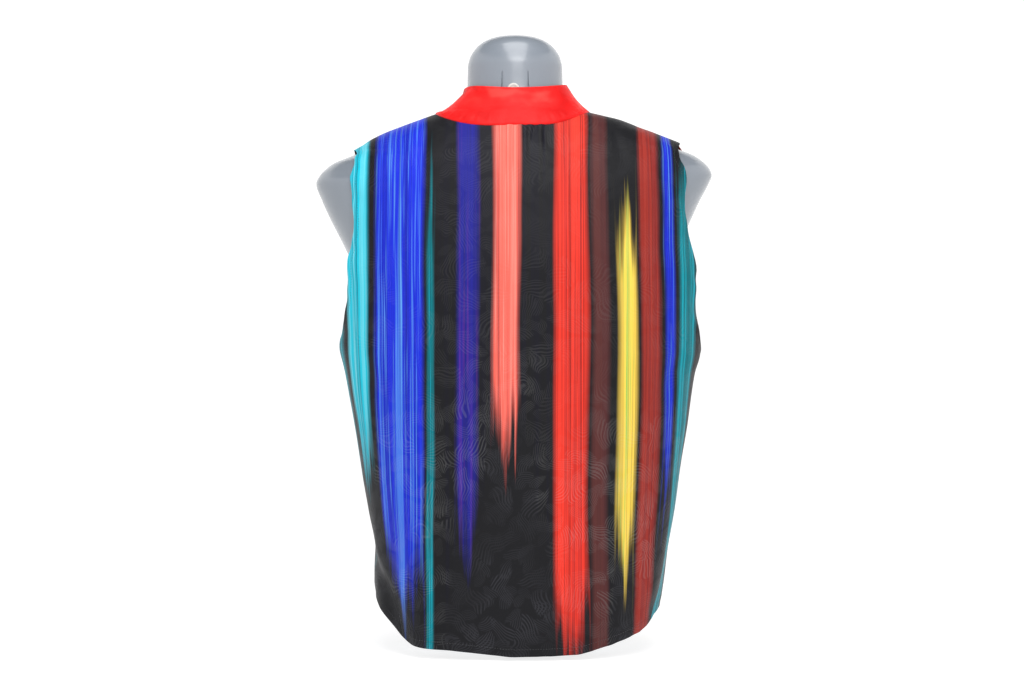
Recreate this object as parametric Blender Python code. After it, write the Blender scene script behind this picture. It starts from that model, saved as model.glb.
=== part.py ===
"""A sleeveless silk waistcoat with a red band collar, worn on a limbless torso form.

Metres, +Z up. The garment's back faces -Y and its front +Y, and the wearer's left is at -X.
The form stands on its flat base at Z 0. Angles round the body are counted from the back
centre, positive towards +X, so the front centre is at 180 degrees.
"""

import bisect
import math

import bpy
from mathutils import Vector

# Cloth and clearances
CLOTH_WALL = 0.0015
COLLAR_WALL = 0.0018
SEAM_GAP = 0.0003
REST_GAP = 0.0013
COLLAR_SEAM_GAP = 0.0006
CAP_EASE = {-1: 0.0020, 1: 0.0048}
CAP_EASE_FROM = 0.100
CAP_EASE_WIDTH = 0.085

# The torso form, from its flat base to the top of its neck.
# height, left half width, right half width, back depth, front depth, squareness
FORM_LEVELS = (
    (0.0000, 0.0840, 0.0840, 0.0580, 0.0610, 2.15),
    (0.0040, 0.0980, 0.0980, 0.0670, 0.0700, 2.18),
    (0.0120, 0.1150, 0.1150, 0.0755, 0.0780, 2.22),
    (0.0260, 0.1290, 0.1290, 0.0840, 0.0855, 2.26),
    (0.0500, 0.1375, 0.1375, 0.0880, 0.0895, 2.30),
    (0.1100, 0.1385, 0.1385, 0.0895, 0.0920, 2.30),
    (0.1800, 0.1405, 0.1405, 0.0915, 0.0950, 2.35),
    (0.2500, 0.1470, 0.1470, 0.0955, 0.1000, 2.40),
    (0.3100, 0.1550, 0.1550, 0.1015, 0.1060, 2.40),
    (0.3600, 0.1640, 0.1640, 0.1080, 0.1115, 2.40),
    (0.4050, 0.1740, 0.1720, 0.1135, 0.1145, 2.40),
    (0.4450, 0.1880, 0.1830, 0.1160, 0.1145, 2.35),
    (0.4800, 0.2040, 0.1960, 0.1155, 0.1115, 2.30),
    (0.5090, 0.2190, 0.2090, 0.1135, 0.1055, 2.25),
    (0.5350, 0.2310, 0.2210, 0.1105, 0.0975, 2.20),
    (0.5560, 0.2382, 0.2320, 0.1065, 0.0890, 2.15),
    (0.5660, 0.2335, 0.2358, 0.1040, 0.0840, 2.10),
    (0.5740, 0.2255, 0.2328, 0.1017, 0.0790, 2.10),
    (0.5800, 0.2170, 0.2275, 0.0997, 0.0757, 2.10),
    (0.5850, 0.2050, 0.2214, 0.0980, 0.0730, 2.10),
    (0.5900, 0.1925, 0.2130, 0.0960, 0.0705, 2.10),
    (0.5950, 0.1845, 0.2000, 0.0938, 0.0682, 2.10),
    (0.6000, 0.1770, 0.1870, 0.0915, 0.0663, 2.10),
    (0.6060, 0.1672, 0.1733, 0.0887, 0.0643, 2.10),
    (0.6120, 0.1555, 0.1603, 0.0858, 0.0625, 2.10),
    (0.6180, 0.1415, 0.1468, 0.0825, 0.0610, 2.08),
    (0.6240, 0.1268, 0.1350, 0.0788, 0.0598, 2.05),
    (0.6290, 0.1140, 0.1235, 0.0755, 0.0590, 2.02),
    (0.6330, 0.1040, 0.1090, 0.0728, 0.0585, 2.00),
    (0.6360, 0.0940, 0.0960, 0.0708, 0.0581, 2.00),
    (0.6400, 0.0805, 0.0810, 0.0680, 0.0578, 2.00),
    (0.6460, 0.0702, 0.0702, 0.0650, 0.0574, 2.00),
    (0.6530, 0.0633, 0.0633, 0.0622, 0.0570, 2.00),
    (0.6620, 0.0588, 0.0588, 0.0600, 0.0565, 2.00),
    (0.6700, 0.0571, 0.0571, 0.0590, 0.0560, 2.00),
    (0.6950, 0.0567, 0.0567, 0.0580, 0.0560, 2.00),
    (0.7070, 0.0540, 0.0540, 0.0552, 0.0530, 2.00),
    (0.7170, 0.0480, 0.0480, 0.0492, 0.0475, 2.00),
    (0.7250, 0.0390, 0.0390, 0.0402, 0.0385, 2.00),
    (0.7305, 0.0260, 0.0260, 0.0270, 0.0255, 2.00),
)
FORM_TOP = 0.7333
FORM_SIDES = 36

# The inner face of the cloth where it hangs free, up to where it rests on the form.
# height, left half width, right half width, back depth, front depth, squareness
HANGING_LEVELS = (
    (0.000, 0.1600, 0.1620, 0.1100, 0.1180, 2.45),
    (0.050, 0.1620, 0.1655, 0.1115, 0.1190, 2.45),
    (0.075, 0.1635, 0.1700, 0.1125, 0.1200, 2.45),
    (0.123, 0.1650, 0.1770, 0.1140, 0.1215, 2.40),
    (0.165, 0.1712, 0.1830, 0.1150, 0.1225, 2.40),
    (0.214, 0.1790, 0.1892, 0.1165, 0.1235, 2.40),
    (0.271, 0.1878, 0.1992, 0.1180, 0.1245, 2.40),
    (0.302, 0.1932, 0.2035, 0.1185, 0.1250, 2.40),
    (0.330, 0.1984, 0.2078, 0.1190, 0.1250, 2.40),
    (0.357, 0.2045, 0.2145, 0.1195, 0.1250, 2.35),
    (0.400, 0.2085, 0.2165, 0.1205, 0.1250, 2.30),
    (0.450, 0.2150, 0.2205, 0.1210, 0.1230, 2.25),
    (0.500, 0.2235, 0.2245, 0.1190, 0.1150, 2.20),
    (0.540, 0.2345, 0.2300, 0.1120, 0.0975, 2.18),
)
HANGS_BELOW = 0.450
RESTS_ABOVE = 0.540

# Heights of the cut edges
UNDERARM = {-1: 0.362, 1: 0.354}
SHOULDER_TIP = {-1: 0.5915, 1: 0.5978}
HEM_BACK = 0.0045
HEM_FRONT = 0.0100
HEM_SIDE = {-1: 0.0680, 1: 0.0530}

# How the hem climbs from the centre to the side.
# share of the quarter turn, left climb, right climb
HEM_CLIMB = (
    (0.00, 0.00, 0.00),
    (0.23, 0.10, 0.05),
    (0.36, 0.12, 0.18),
    (0.47, 0.15, 0.29),
    (0.58, 0.28, 0.41),
    (0.68, 0.48, 0.53),
    (0.78, 0.70, 0.72),
    (0.90, 0.92, 0.93),
    (1.00, 1.00, 1.00),
)

# How far each side seam swings towards the back near the hem.
# height, left degrees, right degrees
SIDE_SEAM_TURN = (
    (0.000, 39.0, 24.0),
    (0.030, 37.0, 21.0),
    (0.070, 28.0, 14.0),
    (0.095, 16.0, 8.0),
    (0.125, 2.0, 3.0),
    (0.170, 0.0, 0.0),
)

# Depth of the armhole's edges behind and before the side line.
# share of the climb from underarm to shoulder tip, left back depth, right back depth, front depth
ARMHOLE_EDGE = (
    (0.00, 0.0000, 0.0000, 0.0000),
    (0.02, 0.0190, 0.0170, 0.0180),
    (0.07, 0.0360, 0.0310, 0.0340),
    (0.15, 0.0480, 0.0410, 0.0470),
    (0.27, 0.0580, 0.0480, 0.0570),
    (0.45, 0.0630, 0.0500, 0.0610),
    (0.65, 0.0695, 0.0540, 0.0580),
    (0.80, 0.0700, 0.0610, 0.0500),
    (0.90, 0.0635, 0.0610, 0.0400),
    (0.96, 0.0510, 0.0500, 0.0280),
    (0.99, 0.0280, 0.0250, 0.0140),
    (1.00, 0.0000, 0.0000, 0.0000),
)

# The neckline, seen from above
NECK_HALF_WIDTH = {-1: 0.0950, 1: 0.0890}
NECK_BACK_DEPTH = 0.0830
NECK_FRONT_DEPTH = 0.0850
NECK_SQUARENESS = 2.8

# The soft folds, each a long swell or, with a negative depth, a trough.
# angle, half width in degrees, depth, height where it dies out, lean in degrees
FOLDS = (
    (-62.0, 11.0, -0.0026, 0.34, 7.0),
    (-36.0, 10.0, 0.0022, 0.30, -4.0),
    (24.0, 12.0, 0.0020, 0.28, 3.0),
    (52.0, 10.0, -0.0026, 0.34, -6.0),
    (-109.0, 11.0, 0.0052, 0.24, 9.0),
    (-130.0, 9.0, -0.0046, 0.36, -6.0),
    (-152.0, 9.0, 0.0050, 0.32, 5.0),
    (104.0, 11.0, 0.0048, 0.26, -9.0),
    (126.0, 9.0, -0.0046, 0.38, 6.0),
    (148.0, 9.0, 0.0050, 0.30, -5.0),
)
SEAM_VALLEY = {-1: 0.0048, 1: 0.0028}
SEAM_VALLEY_WIDTH = 9.0
SEAM_VALLEY_TOP = 0.21
SEAM_VALLEY_FADE = 0.13

# Gathers sewn into the back neck seam
GATHER_DEPTH = 0.0016
GATHER_PITCH = 0.0120
GATHER_START = -0.0125
GATHER_COUNT = 4
GATHER_FADE = 0.024

# The front closing: the wearer's left front laps over the right
OVERLAP = 0.0125
LAP_FLAT = 0.004
LAP_FADE = 0.030
LAP_LIFT = CLOTH_WALL + SEAM_GAP + 0.0004

# The band collar, which leans in against the neck
COLLAR_TOP_HALF_WIDTH = {-1: 0.0574, 1: 0.0612}
COLLAR_TOP_BACK = 0.0603
COLLAR_TOP_FRONT = 0.0690
COLLAR_HEIGHT_BACK = 0.6630
COLLAR_HEIGHT_SIDE = {-1: 0.6700, 1: 0.6722}
COLLAR_HEIGHT_FRONT = 0.6130
COLLAR_HOLLOW = {-1: 0.0028, 1: 0.0022}
COLLAR_EASE = 0.0029
COLLAR_FRONT_GAP = 0.0020
COLLAR_CORNER = 0.0090
COLLAR_CORNER_DROP = 0.0054
COLLAR_DIP = 1.8
COLLAR_LEFT_DROP = 0.0040

# Buttons down the front centre
BUTTON_HEIGHTS = (0.530, 0.440, 0.350, 0.260, 0.170)
BUTTON_SIDES = 16
BUTTON_GAP = 0.0005
# radius, height above the cloth
BUTTON_PROFILE = (
    (0.0058, 0.0000),
    (0.0072, 0.0008),
    (0.0075, 0.0018),
    (0.0066, 0.0027),
    (0.0050, 0.0028),
    (0.0042, 0.0021),
)

# Mesh steps
BACK_COLUMNS = 44
FRONT_COLUMNS = 19
SIDE_ROWS = 9
ARMHOLE_ROWS = 13
SHOULDER_ROWS = 8
PANEL_ROWS = SIDE_ROWS + ARMHOLE_ROWS + SHOULDER_ROWS
COLLAR_COLUMNS = 64
COLLAR_RISES = (0.0, 0.07, 0.18, 0.36, 0.66, 1.0)
CENTRE_DENSITY = 0.5
TIP_ARRIVAL = 2.5

# Finishes: colour, roughness
CLOTH_BLACK = ((0.012, 0.012, 0.014), 0.42)
COLLAR_RED = ((0.80, 0.018, 0.012), 0.45)
FORM_GREY = ((0.33, 0.35, 0.37), 0.38)
BUTTON_BLACK = ((0.015, 0.015, 0.017), 0.30)


def smooth(share):
    """Eases a share from 0 to 1 at both ends."""
    share = min(max(share, 0.0), 1.0)
    return share * share * (3 - 2 * share)


def mix(first, second, share):
    return first + (second - first) * share


class Profile:
    """A table read as smooth curves over its first column, which never overshoot its rows."""

    def __init__(self, rows):
        self.places = [row[0] for row in rows]
        self.columns = list(zip(*rows))[1:]
        self.slopes = [self.slopes_of(column) for column in self.columns]

    def slopes_of(self, values):
        steps = [
            (values[i + 1] - values[i]) / (self.places[i + 1] - self.places[i])
            for i in range(len(values) - 1)
        ]
        inner = [0.0 if a * b <= 0 else 2 * a * b / (a + b) for a, b in zip(steps, steps[1:])]
        return [steps[0], *inner, steps[-1]]

    def at(self, place):
        place = min(max(place, self.places[0]), self.places[-1])
        i = min(bisect.bisect_right(self.places, place), len(self.places) - 1) - 1
        span = self.places[i + 1] - self.places[i]
        t = (place - self.places[i]) / span
        start, start_slope = 2 * t**3 - 3 * t**2 + 1, t**3 - 2 * t**2 + t
        end, end_slope = 3 * t**2 - 2 * t**3, t**3 - t**2
        return [
            start * v[i] + start_slope * span * m[i] + end * v[i + 1] + end_slope * span * m[i + 1]
            for v, m in zip(self.columns, self.slopes)
        ]


FORM = Profile(FORM_LEVELS)
HANGING = Profile(HANGING_LEVELS)
CLIMB = Profile(HEM_CLIMB)
SEAM_TURN = Profile(SIDE_SEAM_TURN)
ARMHOLE = Profile(ARMHOLE_EDGE)


def worn_section(height):
    """The cloth's section: its own where it hangs, the form's where it rests on the shoulders."""
    resting = smooth((height - HANGS_BELOW) / (RESTS_ABOVE - HANGS_BELOW))
    if resting == 0:
        return HANGING.at(height)
    if resting == 1:
        return FORM.at(height)
    return [mix(a, b, resting) for a, b in zip(HANGING.at(height), FORM.at(height))]


def section_point(section, angle, height):
    """The point of a section at an angle from the back centre.

    A section is its left and right half widths, its back and front depths and its squareness.
    """
    left, right, back, front, square = section
    side, depth = math.sin(angle), math.cos(angle)
    half_width = right if side > 0 else left
    half_depth = back if depth > 0 else front
    x = math.copysign(half_width * abs(side) ** (2 / square), side)
    y = -math.copysign(half_depth * abs(depth) ** (2 / square), depth)
    return Vector((x, y, height))


def place_in_section(section, x, y):
    """The angle at which a section looks at a place, and how far out the place lies: 1 is on it."""
    left, right, back, front, square = section
    across = math.copysign((abs(x) / (left if x < 0 else right)) ** (square / 2), x)
    along = math.copysign((abs(y) / (back if y < 0 else front)) ** (square / 2), -y)
    return math.atan2(across, along), (across**2 + along**2) ** (1 / square)


def worn_point(angle, height):
    return section_point(worn_section(height), angle, height)


def worn_normal(angle, height):
    """The outward direction of the worn surface."""
    turn, rise = 0.02, 0.0015
    around = worn_point(angle + turn, height) - worn_point(angle - turn, height)
    upward = worn_point(angle, height + rise) - worn_point(angle, height - rise)
    return around.cross(upward).normalized()


def angle_at_depth(depth, full_depth, square):
    """The angle from a panel's own centre at which its section has this depth."""
    return math.acos(min(1.0, (depth / full_depth) ** (square / 2)))


def side_of(angle):
    return 1 if math.sin(angle) > 0 else -1


def seam_angle(side, height):
    """The side seam's angle from the back centre."""
    left, right = SEAM_TURN.at(height)
    return math.radians(90 - (right if side > 0 else left))


def hem_height(side, angle):
    """The hem's height at an angle from the back centre, from 0 to a half turn."""
    share = math.degrees(angle) / 90
    centre = HEM_BACK
    if share > 1:
        share, centre = 2 - share, HEM_FRONT
    left, right = CLIMB.at(share)
    return mix(centre, HEM_SIDE[side], right if side > 0 else left)


def hem_corner(side):
    """The height where the side seam meets the hem."""
    height = HEM_SIDE[side]
    for _ in range(20):
        height = hem_height(side, seam_angle(side, height))
    return height


def fold_depth(angle, height):
    """How far the soft folds push the cloth out, or in, from its plain section."""
    degrees = math.degrees(angle)
    total = 0.0
    for centre, half_width, depth, top, lean in FOLDS:
        away = (degrees - centre - lean * height / top + 180) % 360 - 180
        total += depth * math.exp(-((away / half_width) ** 2)) * smooth((top - height) / top)
    side = side_of(angle)
    away = abs(degrees) - math.degrees(seam_angle(side, height))
    valley = math.exp(-((away / SEAM_VALLEY_WIDTH) ** 2))
    return total - SEAM_VALLEY[side] * valley * smooth((SEAM_VALLEY_TOP - height) / SEAM_VALLEY_FADE)


def gather_depth(x, drop):
    """The gathers that spring from the back neck seam and die out below it."""
    turns = (x - GATHER_START) / GATHER_PITCH
    if not 0 < turns < GATHER_COUNT:
        return 0.0
    return GATHER_DEPTH * math.sin(math.pi * turns) ** 2 * math.exp(-drop / GATHER_FADE)


def height_over(x, y):
    """The height of the form's shoulders over a place seen from above."""
    low, high = 0.50, 0.66
    for _ in range(50):
        middle = (low + high) / 2
        inside = place_in_section(FORM.at(middle), x, y)[1] < 1
        low, high = (middle, high) if inside else (low, middle)
    return (low + high) / 2


def neck_spot(turn):
    """The neckline's angle from the back centre and its height, at a turn seen from above."""
    side, depth = math.sin(turn), math.cos(turn)
    half_width = NECK_HALF_WIDTH[1 if side > 0 else -1]
    x = math.copysign(half_width * abs(side) ** (2 / NECK_SQUARENESS), side)
    full_depth = NECK_BACK_DEPTH if depth > 0 else NECK_FRONT_DEPTH
    y = -math.copysign(full_depth * abs(depth) ** (2 / NECK_SQUARENESS), depth)
    height = height_over(x, y)
    return place_in_section(FORM.at(height), x, y)[0], height


class Panel:
    """A cut piece of the body: its stations run from its centre line to its outer edge."""

    def __init__(self, facing, underarm_height, tip_height):
        self.facing = facing
        self.underarm_height = underarm_height
        self.tip_height = tip_height
        self.lap = OVERLAP if facing == "front" else 0.0

    def edge(self, side, row):
        """The outer edge's angle from the panel's centre and its height: seam, armhole, shoulder."""
        if row <= SIDE_ROWS:
            height = mix(hem_corner(side), UNDERARM[side], row / SIDE_ROWS)
            angle = seam_angle(side, height)
            return (angle if self.facing == "back" else math.pi - angle), height
        if row < SIDE_ROWS + ARMHOLE_ROWS:
            climb = (1 - math.cos(math.pi * (row - SIDE_ROWS) / ARMHOLE_ROWS)) / 2
            height = mix(UNDERARM[side], SHOULDER_TIP[side], climb)
            left_back, right_back, front_edge = ARMHOLE.at(climb)
            _, _, back, front, square = worn_section(height)
            if self.facing == "back":
                return angle_at_depth(right_back if side > 0 else left_back, back, square), height
            return angle_at_depth(front_edge, front, square), height
        climb = (row - SIDE_ROWS - ARMHOLE_ROWS) / SHOULDER_ROWS
        _, neck_point = neck_spot(side * math.pi / 2)
        return math.pi / 2, mix(SHOULDER_TIP[side], neck_point, climb)

    def neck(self, side, turn):
        """The neckline's angle from the panel's centre and its height, at a turn from that centre."""
        if self.facing == "back":
            angle, height = neck_spot(side * turn)
            return side * angle, height
        angle, height = neck_spot(side * (math.pi - turn))
        return (math.pi - side * angle + math.pi) % (2 * math.pi) - math.pi, height

    def lap_angle(self, height):
        """How far past the front centre the lapped edge lies."""
        left, _, _, _, square = worn_section(height)
        return -math.asin((self.lap / left) ** (square / 2)) if self.lap else 0.0

    def station(self, side, share, row):
        """The angle from the back centre and the height, at a share of the panel's half width."""
        edge_angle, edge_height = self.edge(side, row)
        lap_turn = -math.asin((self.lap / NECK_HALF_WIDTH[-side]) ** (NECK_SQUARENESS / 2))
        neck_angle, neck_height = self.neck(side, mix(lap_turn, math.pi / 2, share))
        neck_start, neck_centre = self.neck(side, lap_turn)
        above = max(0, row - SIDE_ROWS)
        centre_height = mix(self.underarm_height, self.tip_height, min(1.0, above / ARMHOLE_ROWS))
        start = self.lap_angle(centre_height)
        if row > SIDE_ROWS + ARMHOLE_ROWS:
            climb = (row - SIDE_ROWS - ARMHOLE_ROWS) / SHOULDER_ROWS
            start = mix(self.lap_angle(self.tip_height), neck_start, climb)
        neck_share = (neck_angle - neck_start) / (math.pi / 2 - neck_start)
        spread = mix(share, neck_share, smooth(above / (ARMHOLE_ROWS + SHOULDER_ROWS)))
        angle = mix(start, edge_angle, spread)
        if row <= SIDE_ROWS:
            from_back = angle if self.facing == "back" else math.pi - angle
            bottom = hem_height(side, min(from_back, math.pi))
            top = mix(self.underarm_height, UNDERARM[side], share**2)
            height = mix(bottom, top, row / SIDE_ROWS)
        elif row < SIDE_ROWS + ARMHOLE_ROWS:
            early = (above / ARMHOLE_ROWS) ** 3
            climb = mix(share**2, 1 - (1 - share) ** TIP_ARRIVAL, early)
            height = mix(centre_height, edge_height, climb)
        else:
            tip_row = mix(self.tip_height, SHOULDER_TIP[side], 1 - (1 - share) ** TIP_ARRIVAL)
            height = mix(tip_row, neck_height, climb if row > SIDE_ROWS + ARMHOLE_ROWS else 0.0)
        turned = angle if self.facing == "back" else math.pi - angle
        return side * turned, height, neck_centre


BACK = Panel("back", underarm_height=0.358, tip_height=0.572)
FRONT = Panel("front", underarm_height=0.350, tip_height=0.520)


def ease(point):
    """The cloth's inner face over the worn surface: it stands off a little over the shoulders' caps."""
    out = smooth((abs(point.x) - CAP_EASE_FROM) / CAP_EASE_WIDTH)
    return REST_GAP + CAP_EASE[1 if point.x > 0 else -1] * out


def lap_lift(side, x):
    """The left front is lifted over the right where they lap."""
    if side > 0:
        return 0.0
    return LAP_LIFT * smooth((OVERLAP + LAP_FLAT + LAP_FADE + x) / LAP_FADE)


def cloth_pair(panel, side, share, row):
    """The inner and outer points of the cloth at one station."""
    angle, height, neck_centre = panel.station(side, share, row)
    base, normal = worn_point(angle, height), worn_normal(angle, height)
    out = ease(base) + fold_depth(angle, height)
    if panel.facing == "back":
        out += gather_depth(base.x, max(0.0, neck_centre - height))
    else:
        out += lap_lift(side, base.x)
    return base + normal * out, base + normal * (out + CLOTH_WALL)


def signed_shares(columns):
    """Shares from -1 to 1, set closer together at the back centre, where the gathers are."""
    even = [2 * i / columns - 1 for i in range(columns + 1)]
    return [CENTRE_DENSITY * e + (1 - CENTRE_DENSITY) * e**3 for e in even]


def pull_in(grid, column, neighbour):
    """Moves an edge of a grid half a seam gap off the side and shoulder seams, square to them."""
    for first, last in ((0, SIDE_ROWS), (SIDE_ROWS + ARMHOLE_ROWS, PANEL_ROWS)):
        moved = []
        for place in range(first, last + 1):
            row, below, above = grid[place], grid[max(first, place - 1)], grid[min(last, place + 1)]
            pair = []
            for layer in (0, 1):
                step = row[neighbour][layer] - row[column][layer]
                step -= step.project(above[column][layer] - below[column][layer])
                pair.append(row[column][layer] + step.normalized() * (SEAM_GAP / 2))
            moved.append(pair)
        for place, pair in zip(range(first, last + 1), moved):
            grid[place][column] = pair


def back_grid():
    shares = [(1 if share > 0 else -1, abs(share)) for share in signed_shares(BACK_COLUMNS)]
    grid = [[cloth_pair(BACK, side, share, row) for side, share in shares] for row in range(PANEL_ROWS + 1)]
    pull_in(grid, 0, 1)
    pull_in(grid, -1, -2)
    return grid


def front_grid(side):
    shares = [i / FRONT_COLUMNS for i in range(FRONT_COLUMNS + 1)]
    grid = [[cloth_pair(FRONT, side, share, row) for share in shares] for row in range(PANEL_ROWS + 1)]
    pull_in(grid, -1, -2)
    return [row[::-1] for row in grid] if side > 0 else grid


def neck_turns(columns):
    """Turns round the neck, from the collar's left front end by the back to its right one."""
    end = math.pi - math.asin((COLLAR_FRONT_GAP / NECK_HALF_WIDTH[1]) ** (NECK_SQUARENESS / 2))
    return [mix(-end, end, i / columns) for i in range(columns + 1)]


def neck_edge(turn):
    """The worn surface at the neckline: its point, its normal and the way up across the seam."""
    angle, height = neck_spot(turn)
    base, normal = worn_point(angle, height), worn_normal(angle, height)
    along = worn_point(*neck_spot(turn + 0.01)) - worn_point(*neck_spot(turn - 0.01))
    return base, normal, normal.cross(along).normalized()


def collar_top(turn):
    """The collar's top edge on its inner face."""
    back = math.cos(turn) > 0
    depth = COLLAR_TOP_BACK if back else COLLAR_TOP_FRONT
    end = COLLAR_HEIGHT_BACK if back else COLLAR_HEIGHT_FRONT
    side = mix(COLLAR_HEIGHT_SIDE[-1], COLLAR_HEIGHT_SIDE[1], (1 + math.sin(turn)) / 2)
    height = mix(side, end, abs(math.cos(turn)) ** COLLAR_DIP)
    height -= COLLAR_LEFT_DROP * max(0.0, -math.sin(turn)) ** 12
    corner = max(0.0, 1 - (math.pi - abs(turn)) * COLLAR_TOP_FRONT / COLLAR_CORNER)
    height -= COLLAR_CORNER_DROP * (1 - math.sqrt(1 - corner**2))
    half_width = COLLAR_TOP_HALF_WIDTH[1 if math.sin(turn) > 0 else -1]
    return Vector((half_width * math.sin(turn), -depth * math.cos(turn), height))


def clear_of_form(point):
    """The point, moved out where it lies nearer than the collar's ease to the form."""
    angle, reach = place_in_section(FORM.at(point.z), point.x, point.y)
    normal = worn_normal(angle, point.z)
    away = Vector((point.x, point.y, 0)) * (1 - 1 / reach)
    return point + normal * max(0.0, COLLAR_EASE - away.dot(normal))


def collar_grid():
    """The band: it starts face to face with the neckline and leans in to the neck."""
    grid = []
    for rise in COLLAR_RISES:
        line = []
        for turn in neck_turns(COLLAR_COLUMNS):
            base, normal, upward = neck_edge(turn)
            foot = base + normal * REST_GAP + upward * COLLAR_SEAM_GAP
            top = collar_top(turn)
            around = Vector((math.cos(turn), math.sin(turn), 0))
            outward = around.cross(top - foot).normalized()
            hollow = mix(COLLAR_HOLLOW[-1], COLLAR_HOLLOW[1], (1 + math.sin(turn)) / 2)
            inner = foot.lerp(top, rise) - outward * (hollow * math.sin(math.pi * rise**0.85))
            inner = clear_of_form(inner) if rise else inner
            face = normal.lerp(outward, smooth(rise * 2)).normalized()
            line.append((inner, inner + face * mix(CLOTH_WALL, COLLAR_WALL, smooth(rise * 3))))
        grid.append(line)
    return grid


def walled_mesh(name, grid):
    """A closed wall from a grid of inner and outer points, rows going up and columns towards +X."""
    rows, columns = len(grid), len(grid[0])
    points = [pair[layer] for layer in (0, 1) for row in grid for pair in row]
    layer_size = rows * columns

    def index(layer, row, column):
        return layer * layer_size + row * columns + column

    faces = []
    for r in range(rows - 1):
        for c in range(columns - 1):
            corners = ((r, c), (r, c + 1), (r + 1, c + 1), (r + 1, c))
            faces.append([index(1, *corner) for corner in corners])
            faces.append([index(0, *corner) for corner in reversed(corners)])
    rim = [(0, c) for c in range(columns)] + [(r, columns - 1) for r in range(1, rows)]
    rim += [(rows - 1, c) for c in range(columns - 2, -1, -1)]
    rim += [(r, 0) for r in range(rows - 2, 0, -1)]
    for here, after in zip(rim, rim[1:] + rim[:1]):
        faces.append([index(0, *here), index(0, *after), index(1, *after), index(1, *here)])
    mesh = bpy.data.meshes.new(name)
    mesh.from_pydata(points, [], faces)
    return mesh


def ring_mesh(name, rings, top):
    """A closed solid from rings of points, flat below the first ring and with a pole over the last."""
    sides = len(rings[0])
    points = [point for ring in rings for point in ring] + [top]
    faces = [list(range(sides))[::-1]]
    for r in range(len(rings) - 1):
        for s in range(sides):
            after = (s + 1) % sides
            low, high = r * sides, (r + 1) * sides
            faces.append([low + s, low + after, high + after, high + s])
    last = (len(rings) - 1) * sides
    faces += [[last + s, last + (s + 1) % sides, len(points) - 1] for s in range(sides)]
    mesh = bpy.data.meshes.new(name)
    mesh.from_pydata(points, [], faces)
    return mesh


def make_material(name, finish, metallic=0.0):
    colour, roughness = finish
    material = bpy.data.materials.new(name)
    material.use_nodes = True
    shader = material.node_tree.nodes["Principled BSDF"]
    shader.inputs["Base Color"].default_value = (*colour, 1.0)
    shader.inputs["Roughness"].default_value = roughness
    shader.inputs["Metallic"].default_value = metallic
    return material


def add_object(name, mesh, material, parent):
    mesh.materials.append(material)
    mesh.shade_smooth()
    mesh.set_sharp_from_angle(angle=math.radians(50))
    made = bpy.data.objects.new(name, mesh)
    bpy.context.scene.collection.objects.link(made)
    made.parent = parent
    return made


def add_form(parent):
    """The torso form: rounded sections from its flat base to the top of its neck."""
    turns = [2 * math.pi * i / FORM_SIDES for i in range(FORM_SIDES)]
    rings = [[section_point(level[1:], turn, level[0]) for turn in turns] for level in FORM_LEVELS]
    mesh = ring_mesh("torso_form", rings, Vector((0, 0, FORM_TOP)))
    return add_object("torso_form", mesh, make_material("form_grey", FORM_GREY), parent)


def add_cloth(parent):
    """The back, the two fronts and the collar."""
    silk = make_material("printed_silk", CLOTH_BLACK)
    add_object("back", walled_mesh("back", back_grid()), silk, parent)
    add_object("front_left", walled_mesh("front_left", front_grid(-1)), silk, parent)
    add_object("front_right", walled_mesh("front_right", front_grid(1)), silk, parent)
    red = make_material("collar_silk", COLLAR_RED)
    add_object("collar", walled_mesh("collar", collar_grid()), red, parent)


def add_buttons(parent):
    """Dished round buttons, each square to the lapped front that carries it."""
    material = make_material("button_black", BUTTON_BLACK)
    turns = [2 * math.pi * i / BUTTON_SIDES for i in range(BUTTON_SIDES)]
    rings = [
        [Vector((radius * math.cos(turn), radius * math.sin(turn), rise)) for turn in turns]
        for radius, rise in BUTTON_PROFILE
    ]
    shape = ring_mesh("button", rings, Vector((0, 0, BUTTON_PROFILE[-1][1])))
    for number, height in enumerate(BUTTON_HEIGHTS, 1):
        base, normal = worn_point(-math.pi, height), worn_normal(-math.pi, height)
        out = REST_GAP + fold_depth(-math.pi, height) + LAP_LIFT + CLOTH_WALL + BUTTON_GAP
        button = add_object(f"button_{number}", shape.copy(), material, parent)
        button.location = base + normal * out
        button.rotation_mode = "QUATERNION"
        button.rotation_quaternion = normal.to_track_quat("Z", "Y")


def main():
    for old in list(bpy.data.objects):
        bpy.data.objects.remove(old)
    whole = bpy.data.objects.new("waistcoat_on_form", None)
    bpy.context.scene.collection.objects.link(whole)
    add_form(whole)
    add_cloth(whole)
    add_buttons(whole)


main()
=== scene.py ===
"""Visual model of a sleeveless silk waistcoat with a red band collar, worn on a grey torso form.

The garment's back faces -Y, as in the photograph, and its front +Y. Angles round the body are
counted from the back centre, positive towards +X, so the front centre is half a turn away.
"""

import logging
import math
from dataclasses import dataclass, field
from enum import Enum
from typing import Callable, Iterable, Sequence, Union

import bpy
import numpy as np
from bpy.types import Material, Mesh, Node, NodeSocket, NodeTree, Object
from mathutils import Matrix, Vector
from mathutils.kdtree import KDTree


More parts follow.
